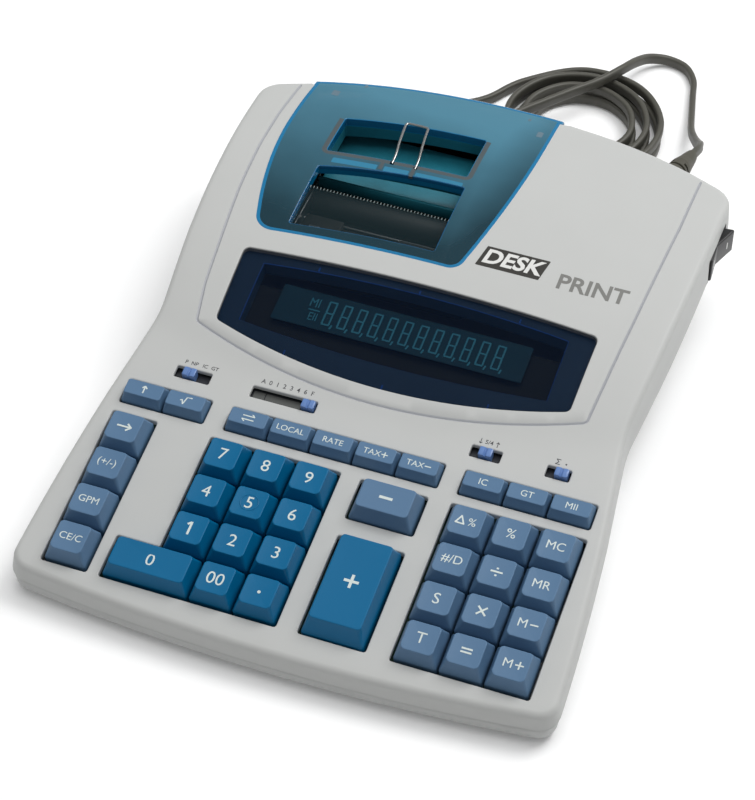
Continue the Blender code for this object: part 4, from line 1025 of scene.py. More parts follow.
# Round rubber feet and screws in wells, all turned about Z.
def addUnderside():
    upright = Matrix.Rotation(-math.pi / 2, 4, "Y")
    feet, screws, wells = [], [], []
    for x, y in [(-96, -133.8), (96, -133.8), (-84, 115.8), (84, 115.8)]:
        rings = lathed([(0, 5.6), (0.02, 6.2), (0.4, 6.9), (1.2, 7.0), (2.4, 7.0)], 40)
        feet.append(placed(swept(rings), Matrix.Translation((x, y, 0)) @ upright))
    for x, y in [(-100, -80), (100, -80), (-92, 40), (92, 40), (-60, 126), (60, 126)]:
        matrix = Matrix.Translation((x, y, 0)) @ upright
        well = lathed([(1.95, 4.3), (1.7, 4.2), (1.7, 3.3), (1.95, 3.2), (2.2, 3.2), (2.2, 4.3)], 36)
        wells.append(placed(swept(well), matrix))
        screw = lathed([(1.98, 0.9), (1.82, 1.3), (1.8, 2.2), (1.95, 2.8), (2.2, 2.9)], 32)
        screws.append(placed(swept(screw), matrix))
    newPiece("rubberFeet", *joined(*feet), finishes["foot"], "case")
    newPiece("screwWells", *joined(*wells), finishes["slotDark"], "case")
    newPiece("screwHeads", *joined(*screws), finishes["worksMetal"], "case")


# Cuts the shape out of the piece with an exact Boolean and keeps the result as its mesh.
def cutOut(piece, points, faces):
    cutter = linked("cutter", meshOf("cutter", points, faces))
    change = piece.modifiers.new("cut", "BOOLEAN")
    change.operation, change.solver, change.object = "DIFFERENCE", "EXACT", cutter
    result = bpy.data.meshes.new_from_object(piece.evaluated_get(bpy.context.evaluated_depsgraph_get()))
    piece.modifiers.clear()
    old = piece.data
    piece.data = result
    result.name = old.name
    bpy.data.meshes.remove(old)
    bpy.data.objects.remove(cutter)
    result.set_sharp_from_angle(angle=math.radians(34))


rockerSize = {"pivot": (111.5, 103.5, 43.3), "halfLong": 12.0, "halfTall": 6.0, "room": 2.2}


def addRocker(upper, lower):
    x, y, z = rockerSize["pivot"]
    halfLong = rockerSize["halfLong"] + rockerSize["room"]
    halfTall = rockerSize["halfTall"] + 0.9
    frameLoop = roundedRect(halfLong, halfTall, 1.2)
    atX = lambda loop, across: np.column_stack([np.full(len(loop), across), loop[:, 0] + y, loop[:, 1] + z])
    points, faces = swept([atX(frameLoop, 104.0), atX(frameLoop, 122.0)])
    for piece in (upper, lower):
        cutOut(piece, points, faces)
    inner = roundedRect(halfLong - 0.9, halfTall - 0.7, 0.8)
    outer = roundedRect(halfLong - 0.02, halfTall - 0.02, 1.2)
    rings = [atX(inner, 100.6), atX(inner, 112.3),
             atX(roundedRect(halfLong - 0.5, halfTall - 0.35, 1.0), 112.8),
             atX(outer, 112.6), atX(outer, 99.8)]
    newPiece("rockerRecess", *swept(rings), finishes["recess"], "case")
    corners = [(-4.5, -11, 0.4), (2.4, -12, 0.7), (1.6, -1.0, 3.0), (6.2, 11.4, 0.8), (5.4, 12, 0.5),
               (-4.5, 11, 0.4)]
    loop = rounded(corners, 8)
    halfTall = rockerSize["halfTall"]
    turn = np.linspace(0, np.pi / 2, 5)
    bands = [(-halfTall + 0.7 * (1 - math.cos(a)), 0.7 * (1 - math.sin(a))) for a in turn]
    bands += [(-z2, inset) for z2, inset in bands[::-1]]
    rings = [withZ(moved(loop, -inset) + [x, y], z + height) for height, inset in bands]
    newPiece("rocker", *swept(rings), finishes["rocker"], "power_rocker", ["power_rocker"], "rocker")
    marks = []
    for word, (x1, y1), (x2, y2), at in [("O", (2.4, -12), (1.6, -1.0), 0.45),
                                         ("I", (1.6, -1.0), (6.2, 11.4), 0.62)]:
        along = Vector((x2 - x1, y2 - y1, 0)).normalized()
        out = Vector((along.y, -along.x, 0))
        middle = Vector((x1 + (x2 - x1) * at, y1 + (y2 - y1) * at, 0)) + Vector((x, y, z)) + out * 0.04
        matrix = Matrix((along, Vector((0, 0, 1)), out)).transposed().to_4x4()
        matrix.translation = middle
        marks.append(placed(letters(word, 5.2), matrix))
    newPiece("rockerMarks", *joined(*marks), finishes["rockerMark"], "power_rocker")


# Words as thin solids about the origin, from Blender's own typeface; size is the type's size.
def letters(word, size, bold=0.012, thick=0.05):
    data = bpy.data.curves.new("word", "FONT")
    data.body = word
    data.size = size
    data.align_x, data.align_y = "CENTER", "CENTER"
    data.offset = bold * size
    data.extrude = thick / 2
    data.resolution_u = 4
    holder = linked("word", data)
    mesh = bpy.data.meshes.new_from_object(holder.evaluated_get(bpy.context.evaluated_depsgraph_get()))
    points = np.empty(len(mesh.vertices) * 3)
    mesh.vertices.foreach_get("co", points)
    faces = [list(polygon.vertices) for polygon in mesh.polygons]
    points = points.reshape(-1, 3)
    bpy.data.objects.remove(holder)
    bpy.data.meshes.remove(mesh)
    bpy.data.curves.remove(data)
    return points, faces


# Strokes as thin bars: each (x1, y1, x2, y2) becomes a box of the given width.
def strokes(lines, width, size=1.0, thick=0.05, shift=(0.0, 0.0)):
    lines = np.asarray(lines, float) * size
    start, end = lines[:, :2], lines[:, 2:]
    along = (end - start) / np.linalg.norm(end - start, axis=1)[:, None]
    side = np.stack([-along[:, 1], along[:, 0]], axis=1) * width / 2
    start, end = start - along * width * 0.3, end + along * width * 0.3
    flat = np.stack([start - side, end - side, end + side, start + side], axis=1) + shift
    low = np.concatenate([flat, np.full(flat.shape[:2] + (1,), -thick / 2)], axis=2)
    high = low + [0, 0, thick]
    points = np.concatenate([low, high], axis=1).reshape(-1, 3)
    box = np.array([[3, 2, 1, 0], [4, 5, 6, 7], [0, 1, 5, 4], [1, 2, 6, 5], [2, 3, 7, 6], [3, 0, 4, 7]])
    faces = (box[None] + (np.arange(len(lines)) * 8)[:, None, None]).reshape(-1, 4)
    return points, faces.tolist()


signs = {
    "right": [(-0.5, 0, 0.5, 0), (0.2, 0.26, 0.5, 0), (0.2, -0.26, 0.5, 0)],
    "up": [(0, -0.5, 0, 0.5), (-0.26, 0.2, 0, 0.5), (0.26, 0.2, 0, 0.5)],
    "down": [(0, 0.5, 0, -0.5), (-0.26, -0.2, 0, -0.5), (0.26, -0.2, 0, -0.5)],
    "root": [(-0.6, -0.05, -0.42, 0.05), (-0.42, 0.05, -0.2, -0.5), (-0.2, -0.5, 0.05, 0.5),
             (0.05, 0.5, 0.6, 0.5)],
    "times": [(-0.4, -0.4, 0.4, 0.4), (-0.4, 0.4, 0.4, -0.4)],
    "divide": [(-0.5, 0, 0.5, 0), (-0.05, 0.36, 0.05, 0.36), (-0.05, -0.36, 0.05, -0.36)],
    "equals": [(-0.45, 0.18, 0.45, 0.18), (-0.45, -0.18, 0.45, -0.18)],
    "plus": [(-0.5, 0, 0.5, 0), (0, -0.5, 0, 0.5)],
    "minus": [(-0.5, 0, 0.5, 0)],
    "delta": [(-0.42, -0.4, 0, 0.45), (0, 0.45, 0.42, -0.4), (-0.42, -0.4, 0.42, -0.4)],
    "sum": [(0.34, 0.45, -0.34, 0.45), (-0.34, 0.45, 0.1, 0), (0.1, 0, -0.34, -0.45),
            (-0.34, -0.45, 0.34, -0.45)],
    "swap": [(-0.6, 0.22, 0.6, 0.22), (0.32, 0.48, 0.6, 0.22), (0.6, -0.22, -0.6, -0.22),
             (-0.32, -0.48, -0.6, -0.22)],
    "dot": [(-0.06, 0, 0.06, 0)],
    "spot": [(0, 0, 0.4 * math.cos(a), 0.4 * math.sin(a)) for a in np.linspace(0, 2 * np.pi, 13)[:-1]],
    "one": [(0, -0.5, 0, 0.5), (0, 0.5, -0.22, 0.3)],
}


# ---- keys, knobs and their printing


# A key's rings: skirt, flanks that draw in with a slight hollow, a small fillet, then a dished top.
def keyRings(base, top, rise, skirt, dish, bow, shift=0.0, topCorner=1.7):
    steps = 7
    halfBase, halfTop = np.array(base) / 2, np.array(top) / 2
    rings = []
    for height, grow in [(-skirt, 0.0), (-0.25, 0.0), (0.0, -0.02)]:
        rings.append(withZ(roundedRect(halfBase[0] + grow, halfBase[1] + grow, 0.9, steps), height))
    fillet = 0.42
    outerTop = halfTop + fillet * 0.55
    for part in (0.25, 0.5, 0.75, 1.0):
        half = halfBase + (outerTop - halfBase) * (part + 0.05 * math.sin(part * math.pi))
        radius = 0.9 + (topCorner - 0.9) * part
        rings.append(withZ(roundedRect(*half, radius, steps) + [0, shift * part], (rise - fillet) * part))
    for angle in np.linspace(0, np.pi / 2, 5)[1:]:
        half = outerTop - fillet * (1 - math.cos(angle))
        rings.append(withZ(roundedRect(*half, topCorner, steps) + [0, shift],
                           rise - fillet * (1 - math.sin(angle))))
    edge = outerTop - fillet
    for part in (0.97, 0.9, 0.75, 0.5, 0.25, 0.06):
        rings.append(withZ(roundedRect(*(edge * part), min(topCorner, min(edge) * 0.9) * part,
                                       steps) + [0, shift], rise))
    rings = np.stack(rings)
    x, y = rings[..., 0] / edge[0], (rings[..., 1] - shift) / edge[1]
    lift = np.clip(rings[..., 2] / (rise - fillet), 0, 1)
    # the front edge stands forward in the middle, and the top is hollow from side to side
    rings[..., 1] -= bow * lift * np.clip(-y, 0, 1) * (1 - np.clip(np.abs(x), 0, 1) ** 2)
    onTheTop = rings[..., 2] > rise - 0.1
    rings[..., 2] -= np.where(onTheTop | (lift >= 1), dish * (1 - np.clip(np.abs(x), 0, 1) ** 2), 0)
    return rings


def keyList():
    size = keySize
    square = (size["base"], size["base"])
    top = (size["top"], size["topDeep"])
    wide = (size["base"] + size["pitch"], size["base"])
    wideTop = (size["top"] + size["pitch"], size["topDeep"])
    rows = [size["topRowV"] - size["pitch"] * row for row in range(4)]
    keys = []
    columns = [
        (size["leftU"], "functionKeys", ("shift_right", "sign", "gpm", "clear")),
        (size["numberU"], "numberKeys", ("7", "4", "1")),
        (size["numberU"] + size["pitch"], "numberKeys", ("8", "5", "2", "00")),
        (size["numberU"] + 2 * size["pitch"], "numberKeys", ("9", "6", "3", "point")),
        (size["rightU"], "functionKeys", ("delta_percent", "number_date", "subtotal", "total")),
        (size["rightU"] + size["pitch"], "functionKeys", ("percent", "divide", "multiply", "equals")),
        (size["rightU"] + 2 * size["pitch"], "functionKeys", ("mc", "mr", "m_minus", "m_plus")),
    ]
    for u, finish, names in columns:
        keys += [(name, u, v, square, top, size["rise"], finish, 0.0) for name, v in zip(names, rows)]
    keys.append(("0", size["numberU"] - size["pitch"] / 2, rows[3], wide, wideTop, size["rise"], "numberKeys",
                 0.0))
    strips = [(size["leftU"], ("feed", "root")),
              (size["numberU"] + size["stripShift"], ("exchange", "local", "rate", "tax_plus", "tax_minus")),
              (size["rightU"], ("ic", "gt", "m2"))]
    for u, names in strips:
        keys += [(name, u + size["pitch"] * place, size["smallV"], size["smallBase"], size["smallTop"],
                  size["smallRise"], "functionKeys", 0.0) for place, name in enumerate(names)]
    keys.append(("minus", *size["minusPlace"], size["minusBase"], size["minusTop"], size["bigRise"],
                 "functionKeys", 0.0))
    keys.append(("plus", *size["plusPlace"], size["plusBase"], size["plusTop"], size["bigRise"], "numberKeys",
                 1.0))
    return keys


# Each key's legend: words as (text, size, x, y) and signs as (sign, size, stroke, x, y).
legends = {
    "7": [("7", 7.9, 0, 0)], "8": [("8", 7.9, 0, 0)], "9": [("9", 7.9, 0, 0)], "4": [("4", 7.9, 0, 0)],
    "5": [("5", 7.9, 0, 0)], "6": [("6", 7.9, 0, 0)], "1": [("one", 5.8, 0.95, 0.2, 0)],
    "2": [("2", 7.9, 0, 0)],
    "3": [("3", 7.9, 0, 0)], "0": [("0", 7.9, 0, 0)], "00": [("00", 7.9, 0, 0)],
    "point": [("spot", 1.5, 0.35, 0, -0.4)],
    "shift_right": [("right", 6.0, 0.8, 0, 0)], "sign": [("(+/-)", 4.7, 0, 0)],
    "gpm": [("GPM", 4.6, 0, 0)], "clear": [("CE/C", 4.6, 0, 0)],
    "delta_percent": [("delta", 4.2, 0.65, -2.6, 0), ("%", 5.2, 2.3, 0)], "percent": [("%", 6.2, 0, 0)],
    "mc": [("MC", 5.6, 0, 0)], "mr": [("MR", 5.6, 0, 0)],
    "m_minus": [("M", 5.6, -1.9, 0), ("minus", 3.0, 0.65, 2.9, 0)],
    "m_plus": [("M", 5.6, -1.9, 0), ("plus", 3.2, 0.65, 2.9, 0)],
    "number_date": [("#/D", 5.6, 0, 0)], "subtotal": [("S", 7.2, 0, 0)], "total": [("T", 7.2, 0, 0)],
    "divide": [("divide", 4.6, 0.8, 0, 0)], "multiply": [("times", 4.4, 0.8, 0, 0)],
    "equals": [("equals", 4.6, 0.8, 0, 0)],
    "feed": [("up", 3.6, 0.6, 0, 0)], "root": [("root", 3.8, 0.5, 0, 0)],
    "exchange": [("swap", 4.2, 0.5, 0, 0)],
    "local": [("LOCAL", 3.9, 0, 0)], "rate": [("RATE", 3.9, 0, 0)],
    "tax_plus": [("TAX", 3.9, -1.7, 0), ("plus", 2.4, 0.5, 3.8, 0)],
    "tax_minus": [("TAX", 3.9, -1.7, 0), ("minus", 2.4, 0.5, 3.8, 0)],
    "ic": [("IC", 4.3, 0, 0)], "gt": [("GT", 4.3, 0, 0)], "m2": [("MII", 4.3, 0, 0)],
    "minus": [("minus", 5.0, 1.25, 0, 0)], "plus": [("plus", 5.6, 1.25, 0, 0)],
}


def legendSolids(parts):
    solids = []
    for part in parts:
        if len(part) == 4:
            word, size, x, y = part
            points, faces = letters(word, size, 0.0)
            middle = (points[:, :2].min(axis=0) + points[:, :2].max(axis=0)) / 2
            solids.append((points - [*middle, 0] + [x, y, 0], faces))
        else:
            sign, size, width, x, y = part
            solids.append(strokes(signs[sign], width, size, shift=(x, y)))
    return solids


def addKeys():
    for name, u, v, base, top, rise, finish, shift in keyList():
        big = rise > 7
        small = rise < 5
        dish = 0.25 if big or small else 0.5
        bow = 0.15 if big or small else 0.75
        rings = keyRings(base, top, rise, keySize["skirt"], dish, bow, shift, 1.2 if small else 1.8)
        world = onDeck(rings[..., 0] + u, rings[..., 1] + v, rings[..., 2])
        points, faces = swept(world)
        slot = "number_keys" if finish == "numberKeys" else "function_keys"
        newPiece("cap_" + name, points, faces, finishes[finish], "key_" + name, ["key_" + name], slot, sharp=38)
        points, faces = joined(*legendSolids(legends[name]))
        halfTop = (top[0] - 0.4) / 2
        height = rise - dish * (1 - np.clip(np.abs(points[:, 0]) / halfTop, 0, 1) ** 2) + 0.035 + points[:, 2]
        world = onDeck(points[:, 0] + u, points[:, 1] + v + shift, height)
        newPiece("legend_" + name, world, faces, finishes["legend"], "key_" + name, sharp=20)
    # the raised ring that fingers find on the 5
    turn = fullTurn(48)
    section = np.array([(3.5, -0.2), (4.0, -0.2), (4.0, 0.12), (3.8, 0.2), (3.6, 0.12)])
    ring = np.stack([section[None, :, 0] * np.cos(turn)[:, None], section[None, :, 0] * np.sin(turn)[:, None],
                     np.broadcast_to(section[None, :, 1], (48, 5))], axis=2)
    height = ring[..., 2] + keySize["rise"] - 0.5 * (1 - (ring[..., 0] / 6.5) ** 2)
    fiveU, fiveV = keySize["numberU"] + keySize["pitch"], keySize["topRowV"] - keySize["pitch"]
    world = onDeck(ring[..., 0] + fiveU, ring[..., 1] + fiveV, height)
    closed = np.concatenate([world, world[:1]])
    newPiece("fingerRing", closed.reshape(-1, 3), ringFaces(49, 5).tolist(), finishes["numberKeys"], "key_5")


# A knob: an oblong drawn up from its stem, with a V groove across its top.
def addKnobs():
    for name, (left, right, place) in slotList.items():
        across = np.concatenate([np.linspace(-2.8, -0.75, 6), [-0.4, 0.0, 0.4], np.linspace(0.75, 2.8, 6)])
        top = 2.0 - 0.7 * np.clip(1 - np.abs(across) / 0.75, 0, 1) - 0.35 * np.clip(np.abs(across) - 2.35, 0, 1)
        deep = 2.2 - 0.25 * np.clip((np.abs(across) - 2.3) / 0.5, 0, 1)
        rings = []
        for x, z, y in zip(across, top, deep):
            rings.append([(x, -y, -3), (x, y, -3), (x, y, z - 0.35), (x, y - 0.12, z - 0.1), (x, y - 0.35, z),
                          (x, -y + 0.35, z), (x, -y + 0.12, z - 0.1), (x, -y, z - 0.35)])
        rings = np.array(rings)
        world = onDeck(rings[..., 0] + place, rings[..., 1] + slotV, rings[..., 2])
        newPiece("knob_" + name, *swept(world), finishes["knobs"], name, [name], "sliders", sharp=30)
        # the slot's dark floor and, under the long one, its notched scale
        wells = roundedRect((right - left) / 2 + 0.4, slotDeep / 2 + 0.4, 1.0)
        flat = wells + [(left + right) / 2, slotV]
        rings = np.stack([onDeck(flat[:, 0], flat[:, 1], h) for h in (-4.2, -3.3)])
        newPiece("well_" + name, *swept(rings), finishes["slotDark"], "case")
    parts = []
    for left, right in [(-51.6, -46.5), (-46.1, -30.0)]:
        shape = roundedRect((right - left) / 2, slotDeep / 2 - 0.5, 0.3)
        flat = shape + [(left + right) / 2, slotV - 0.1]
        parts.append(swept([onDeck(flat[:, 0], flat[:, 1], h) for h in (-3.35, -3.03)]))
    newPiece("slotScale", *joined(*parts), finishes["scale"], "case")


# A solid laid on the case's top at (x, y); slant leans it to the right.
def onTheCase(solid, x, y, slant=0.0):
    points, faces = solid
    flat = points[:, :2] + [x, y]
    flat[:, 0] += slant * points[:, 1]
    return onTop(flat, 0.03 + points[:, 2]), faces


def addPrinting():
    solids = []
    for word, size, u, v in [("P", 2.5, -84.0, 41.9), ("NP", 2.5, -80.2, 41.9), ("IC", 2.5, -75.4, 41.9),
                             ("GT", 2.5, -71.0, 41.9), ("5/4", 2.8, 52.5, 41.9)]:
        solids.append(onTheCase(letters(word, size, 0.01), u, deckY(v)))
    for place, word in enumerate("A012346F"):
        solids.append(onTheCase(letters(word, 2.9, 0.01), -48.6 + place * 3.157, deckY(42.2)))
    for sign, u in [("down", 48.9), ("up", 56.2)]:
        solids.append(onTheCase(strokes(signs[sign], 0.3, 2.4), u, deckY(41.9)))
    solids.append(onTheCase(strokes(signs["sum"], 0.35, 2.6), 82.6, deckY(41.9)))
    solids.append(onTheCase(strokes(signs["dot"], 0.7, 2.4), 86.2, deckY(41.5)))
    newPiece("slotLegends", *joined(*solids), finishes["print"], "case", sharp=20)
    # a dark slanted plate with a pale word, and a grey word beside it
    flat = rounded([(18.2, 45.6, 0.3), (47.0, 45.6, 0.3), (49.2, 57.4, 0.3), (20.4, 57.4, 0.3)], 4)
    flat = refined(flat, 1.5)
    points, triangles, ids = flatSheet(flat, [], spacing=1.5)
    shellPoints, faces, _ = shell(points, triangles, ids, onTop(points, 0.05), onTop(points, -0.1), [[]])
    newPiece("badgeGround", shellPoints, faces, finishes["badge"], "case")
    word = onTheCase(letters("DESK", 11.2, 0.03), 33.8, 51.4, 0.18)
    word[0][:, 2] += 0.06
    newPiece("badgeWord", *word, finishes["badgeWord"], "case", sharp=20)
    grey = onTheCase(letters("PRINT", 11.6, 0.022), 70.8, 47.6)
    newPiece("plainWord", *grey, finishes["wordGrey"], "case", sharp=20)


# ---- display


def addDisplay():
    outline = refined(windowOutline(), 3.0)
    loop = moved(outline, -0.3)
    top = moved(loop, -0.5)
    points, triangles, ids = flatSheet(top, [], [moved(top, -0.4)], (), 4.0)
    rings = []
    for angle in np.linspace(0, np.pi / 2, 4)[1:]:
        rings.append(onTop(moved(top, 0.5 * math.sin(angle)), -0.5 * (1 - math.cos(angle))))
    rings.append(onTop(loop, -2.2))
    allPoints, faces, kinds = shell(points, triangles, ids[:1], onTop(points), onTop(points, -2.2), [rings])
    newPiece("displayWindow", allPoints, faces, finishes["window"], "case", ["display_window"], "window",
             kinds, 40)
    # a dark surround under the window, with a well that narrows to the tube
    wellX = np.linspace(-70.8, 69.0, 40)
    well = np.concatenate([np.stack([wellX, -13.4 + 4.4 * (wellX / 71) ** 2], axis=1),
                           np.stack([wellX, 25.0 - 4.0 * (wellX / 71) ** 2], axis=1)[::-1]])
    well = refined(well, 4.0)
    surround = moved(outline, 1.5)
    points, triangles, ids = flatSheet(surround, [well], (), (), 5.0)
    rings = [onTop(surround, -3.5)]
    inner = [withZ(moved(well, -0.3), topAt(well) - 3.15), withZ(moved(well, -1.0), topAt(well) - 8.5)]
    allPoints, faces, kinds = shell(points, triangles, ids, onTop(points, -2.9), onTop(points, -3.9),
                                    [rings, inner], None, [[0, 0], [1, 0, 0]])
    newPiece("displaySurround", allPoints, faces, [finishes["bezel"], finishes["bezelEdge"]], "case",
             kinds=kinds, sharp=30)
    # short blue marks round the surround's edge
    marks = []
    for x in (-46.0, 0.0, 46.0):
        bend = (x / windowSize["half"]) ** 2
        for y in (25.6 - windowSize["rearBow"] * bend, -23.2 + windowSize["frontBow"] * bend):
            solid, sides = strokes([(0, -0.9, 0, 0.9)], 0.7)
            marks.append((onTop(solid[:, :2] + [x, y], solid[:, 2] - 2.7), sides))
    newPiece("surroundMarks", *joined(*marks), finishes["bezelEdge"], "case", sharp=20)
    # the tube's printed panel and its unlit digits: the same bars repeated along the tube
    middleY = (windowSize["frontY"] + windowSize["rearY"]) / 2
    panelV = (middleY - deckMiddleY) / math.cos(caseSize["deckTilt"]) + 6.0
    panelH = -1.9
    panel = roundedRect(57, 9.5, 0.6, 3) + [-2.0, panelV]
    newPiece("tubePanel", *swept(np.stack([onDeck(panel[:, 0], panel[:, 1],
                                                  panelH + h) for h in (-0.4, 0.08)])), finishes["tubePanel"],
                                                  "case")
    half, tall = 1.6, 6.1
    bars = [(-half, tall, half, tall), (-half, 0, half, 0), (-half, -tall, half, -tall),
            (-half, 0.5, -half, tall - 0.5), (half, 0.5, half, tall - 0.5),
            (-half, -0.5, -half, -tall + 0.5), (half, -0.5, half, -tall + 0.5), (3.0, -5.9, 2.6, -7.6)]
    solids = []
    for place in range(12):
        points, faces = strokes(bars, 0.78, 1.0, 0.06)
        points[:, 0] += 7.0 * place - 37.0
        solids.append((points, faces))
    for word, x, y, size in [("MI", -44.8, 3.5, 6.6), ("EII", -43.6, -3.9, 6.0)]:
        points, faces = letters(word, size, 0.0)
        points[:, 0] = x + 0.75 * points[:, 0]
        points[:, 1] += y
        solids.append((points, faces))
    solids.append(strokes([(-2.4, 0, 2.6, 0)], 0.6, 1.0, 0.06, (-44.2, -0.2)))
    points, faces = joined(*solids)
    world = onDeck(points[:, 0] + 2.1, points[:, 1] + panelV, panelH + 0.14 + points[:, 2])
    newPiece("tubeDigits", world, faces, finishes["segments"], "case", sharp=20)


# ---- printer and its lid


# The paper's two ways through the lid, with straight sides and bowed fronts and rears.
def lidHoles():
    shapes = []
    for part, bow, reach in (("chute", 4.9, 67), ("exit", 4.2, 66)):
        x = np.linspace(lidSize[part + "Left"], lidSize[part + "Right"], 12)
        front = np.stack([x, lidSize[part + "FrontY"] - bow * (x / reach) ** 2], axis=1)
        rear = np.stack([x, rearEdge(x) - lidSize[part + "FromRear"]], axis=1)[::-1]
        corners = [(*point, 1.0 if index in (0, 11, 12, 23) else 0)
                   for index, point in enumerate(np.vstack([front, rear]))]
        shapes.append(refined(rounded(corners, 5), 2.5))
    return shapes


def addLid():
    sides = lidPath(0.0)
    rearX = np.linspace(sides[-1, 0], sides[0, 0], 46)[1:-1]
    rear = np.column_stack([rearX, rearEdge(rearX)])
    outline = np.vstack([sides, rear])[::-1]
    fillet = 1.3
    top = moved(outline, -fillet)
    chute, exit = lidHoles()
    holes = [moved(chute, 0.4), moved(exit, 0.4)]
    for x in (lidSize["standLeft"], lidSize["standRight"]):
        slot = boxCorners(x - 0.95, x + 0.95, lidSize["standY"] - 1.0, lidSize["standY"] + 1.3, 0.4)
        holes.append(refined(rounded(slot, 3), 1.0))
    frameLoop = moved(chute, 2.6)
    band = moved(top, -1.3)
    patches = [boxCorners(left, right, 88.1, 91.4, 0.4)
               for left, right in ((-63.0, -42.4), (-39.2, -27.8), (-24.6, -2.5))]
    patches = [refined(rounded(corners, 3), 2.5) for corners in patches]
    patches = [loop - np.column_stack([np.zeros(len(loop)), 4.5 * (loop[:, 0] / 67) ** 2]) for loop in patches]
    strips = [refined(rounded(boxCorners(x - 0.9, x + 0.9, 87.2, 93.0, 0.3), 3), 1.5) for x in (-40.8, -26.2)]
    guides = [band, frameLoop, *patches]
    points, triangles, ids = flatSheet(top, holes, guides, (), 3.5)
    middles = points[triangles].mean(axis=1)
    rearLine = rearEdge(middles[:, 0]) - lidSize["chuteFromRear"] - 0.6
    kinds = np.where(inside(middles, frameLoop) & (middles[:, 1] < rearLine), 2, 0)
    kinds[~inside(middles, band)] = 1
    for loop in patches:
        kinds[inside(middles, loop)] = 5
    rings, rim = [], 49.0
    for angle in np.linspace(0, np.pi / 2, 6)[1:]:
        rings.append(onTop(moved(top, fillet * math.sin(angle)), -fillet * (1 - math.cos(angle))))
    low = np.maximum(rim, topAt(outline) - 9.5)
    rings += [withZ(outline, low + 0.3), withZ(moved(outline, -0.3), low), withZ(moved(outline, -1.7), low),
              withZ(moved(outline, -2.0), topAt(outline) - 3.0)]
    chuteZ, exitZ, chuteLow = topAt(chute), topAt(exit), 47.6
    chuteBand = holeBand(holes[0], 0.4, 2.0, 3)
    chuteBand += [withZ(chute, chuteZ - 3.8), withZ(chute, chuteZ - 4.3), withZ(chute, chuteLow),
                  withZ(moved(chute, 1.0), chuteLow), withZ(moved(chute, 1.2), chuteZ - 2.4)]
    exitBand = holeBand(holes[1], 0.4, 2.0, 3)
    exitBand += [withZ(exit, exitZ - 4.6), withZ(moved(exit, 0.9), exitZ - 4.6),
                 withZ(moved(exit, 1.2), exitZ - 2.4)]
    slotBands = [[onTop(hole, -1.0)] for hole in holes[2:]]
    bandKinds = [[1] * 9 + [0], [1, 1, 3, 3, 3, 1, 4, 4, 4, 0], [3] * 4 + [1] * 4, [3, 3], [3, 3]]
    bands = [rings, chuteBand, exitBand, *slotBands]
    allPoints, faces, faceKinds = shell(points, triangles, ids[:len(bands)], onTop(points),
                                        onTop(points, -lidSize["thick"]), bands, kinds,
                                        [kind + [0] * 4 for kind in bandKinds])
    materials = [finishes[part] for part in ("cover", "coverEdge", "coverFrame", "coverWall", "bayTeal",
                                             "coverPatch")]
    newPiece("lid", allPoints, faces, materials, "cover", ["printer_cover"], "cover", faceKinds, 35)
    pegs = []
    for x, y, wide, deep in [(-79, 134, 1.7, 2.2), (-68, 145.5, 0.8, 1.2), (18.5, 140, 1.4, 2.2),
                             (10.5, 150.5, 0.7, 1.2)]:
        loop = roundedRect(wide, deep, 0.5, 3) + [x, y]
        pegs.append(swept([onTop(loop, -0.6), onTop(loop, 0.04)]))
    newPiece("lidPegs", *joined(*pegs), finishes["peg"], "cover")
    webs = []
    for loop in strips:
        webs.append(swept([onTop(loop, -1.2), onTop(loop, 0.03)]))
    newPiece("lidWebs", *joined(*webs), finishes["coverFrame"], "cover")
    # pale tips on the tear bar's teeth
    left, right = lidSize["exitLeft"] - 1, lidSize["exitRight"] + 1
    count = round((right - left) / 1.6)
    x = right - (right - left) / count * np.arange(1, count)
    lines = np.stack([x, np.full(len(x), 67.9), x, np.full(len(x), 69.0)], axis=1)
    points, faces = strokes(lines, 0.34)
    points[:, 2] += topZ(np.full(len(points), left), points[:, 1]) - 2.22
    newPiece("tearTeeth", points, faces, finishes["tooth"], "cover", sharp=20)


# The wire stand: a round wire swept along its bent legs.
def addStand():
    left, right, y0, reach = (lidSize[part] for part in ("standLeft", "standRight", "standY", "standReach"))
    z0 = float(topZ(0, y0)) - 0.3
    legs = [(left, 0, 0), (left, 5.5, 1.1), (left - 1.2, 14, 1.5), (left - 2.3, reach - 2.4, 1.5),
            (left - 2.2, reach - 0.9, 1.5), (left - 0.8, reach, 1.5), (right - 4.2, reach, 1.5),
            (right - 2.8, reach - 0.9, 1.5), (right - 2.7, reach - 2.4, 1.5), (right - 1.3, 14, 1.5),
            (right, 5.5, 1.1), (right, 0, 0)]
    route = smoothRoute(np.array(legs) + [0, y0, z0], 0.7)
    newPiece("standWire", *swept(tubeAlong(route, circle(0.6, 12))), finishes["steel"], "paper_stand",
             ["paper_stand"], "stand_wire", sharp=60)


def boxSolid(low, high, corner):
    low, high = np.array(low, float), np.array(high, float)
    half = (high - low) / 2
    middle = (high + low) / 2
    corner = min(corner, half.min() * 0.8)
    rings = []
    for height, inset in [(-half[2], corner), (-half[2] + corner * 0.3, corner * 0.3), (-half[2] + corner, 0),
                          (half[2] - corner, 0), (half[2] - corner * 0.3, corner * 0.3), (half[2], corner)]:
        rings.append(withZ(roundedRect(half[0] - inset, half[1] - inset, corner, 4) + middle[:2],
                           middle[2] + height))
    return swept(rings)


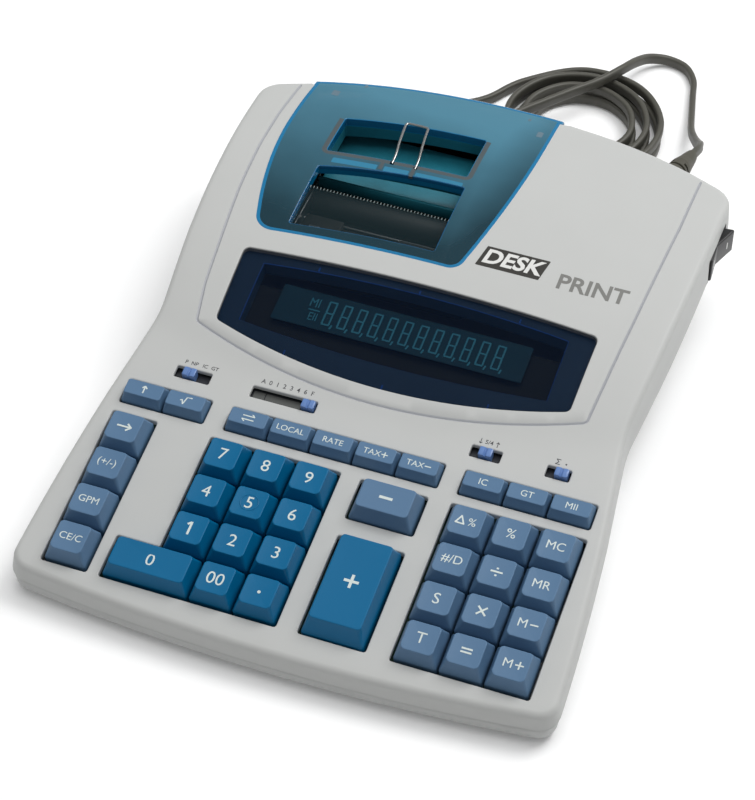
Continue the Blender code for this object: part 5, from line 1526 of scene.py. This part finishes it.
def addPrinter():
    # a bay under the lid, open at its top
    outer = np.array([(-82, 45), (14, 45), (18, 100), (18, 144), (-72, 137), (-84, 100)], float)
    outer = refined(rounded([(x, y, 4) for x, y in outer], 5), 6.0)
    top = 46.5
    rings = [withZ(moved(outer, -1.5), 22.5), withZ(moved(outer, -1.5), top), withZ(outer, top),
             withZ(outer, 21.0)]
    newPiece("printerBay", *swept(rings), finishes["bay"], "case")
    # platen on its shaft
    middle, y, z = -34.0, 78.0, 38.0
    profile = [(-38.5, 1.2), (-38.3, 1.9), (-34.9, 2.0), (-34.9, 5.7), (-34.5, 6.0), (34.5, 6.0), (34.9, 5.7),
               (34.9, 2.0),
               (38.3, 1.9), (38.5, 1.2)]
    points, faces = swept(lathed(profile, 48))
    newPiece("platen", points + [middle, y, z], faces, finishes["platen"], "platen_roller", ["platen_roller"],
             "platen", sharp=40)
    works = [boxSolid((-69.0, 48.0, 27.5), (1.0, 64.0, 40.0), 1.0),
             boxSolid((-66.0, 48.5, 40.0), (-48.0, 62.0, 46.5), 0.8),
             boxSolid((-46.0, 50.0, 40.0), (-30.0, 60.0, 44.0), 0.8),
             boxSolid((-22.0, 49.0, 40.0), (0.5, 61.0, 45.0), 0.8)]
    newPiece("printCarriage", *joined(*works), finishes["works"], "case")
    metal = [boxSolid((-69.5, 46.5, 28.0), (-68.6, 84.0, 46.0), 0.3),
             boxSolid((0.6, 46.5, 28.0), (1.5, 84.0, 46.0), 0.3),
             boxSolid((-62.0, 51.0, 46.5), (-57.0, 54.0, 47.6), 0.3),
             boxSolid((-68.0, 62.5, 41.5), (1.0, 63.6, 42.6), 0.3)]
    newPiece("printerMetal", *joined(*metal), finishes["worksMetal"], "case")
    guide = [boxSolid((-70.0, 92.0, 40.0), (2.0, 128.0, 41.2), 0.4),
             boxSolid((-70.0, 86.5, 40.0), (2.0, 88.0, 46.0), 0.4)]
    newPiece("paperGuide", *joined(*guide), finishes["bayTeal"], "case")


print("stage: case")
upperCase = addUpperCase()
lowerCase = addLowerCase()
addUnderside()
addRocker(upperCase, lowerCase)
print("stage: keys and printing")
addKeys()
addKnobs()
addPrinting()
print("stage: display")
addDisplay()
print("stage: printer and lid")
addLid()
addStand()
addPrinter()

# CAD pieces that keep their shape take their finish here
for node, finish in [("display_tube", "tube"), ("circuit_board", "board"), ("printer_frame", "works"),
                     ("tear_bar", "tear")]:
    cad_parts[node].data.materials.clear()
    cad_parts[node].data.materials.append(finishes[finish])

print("stage: finish")
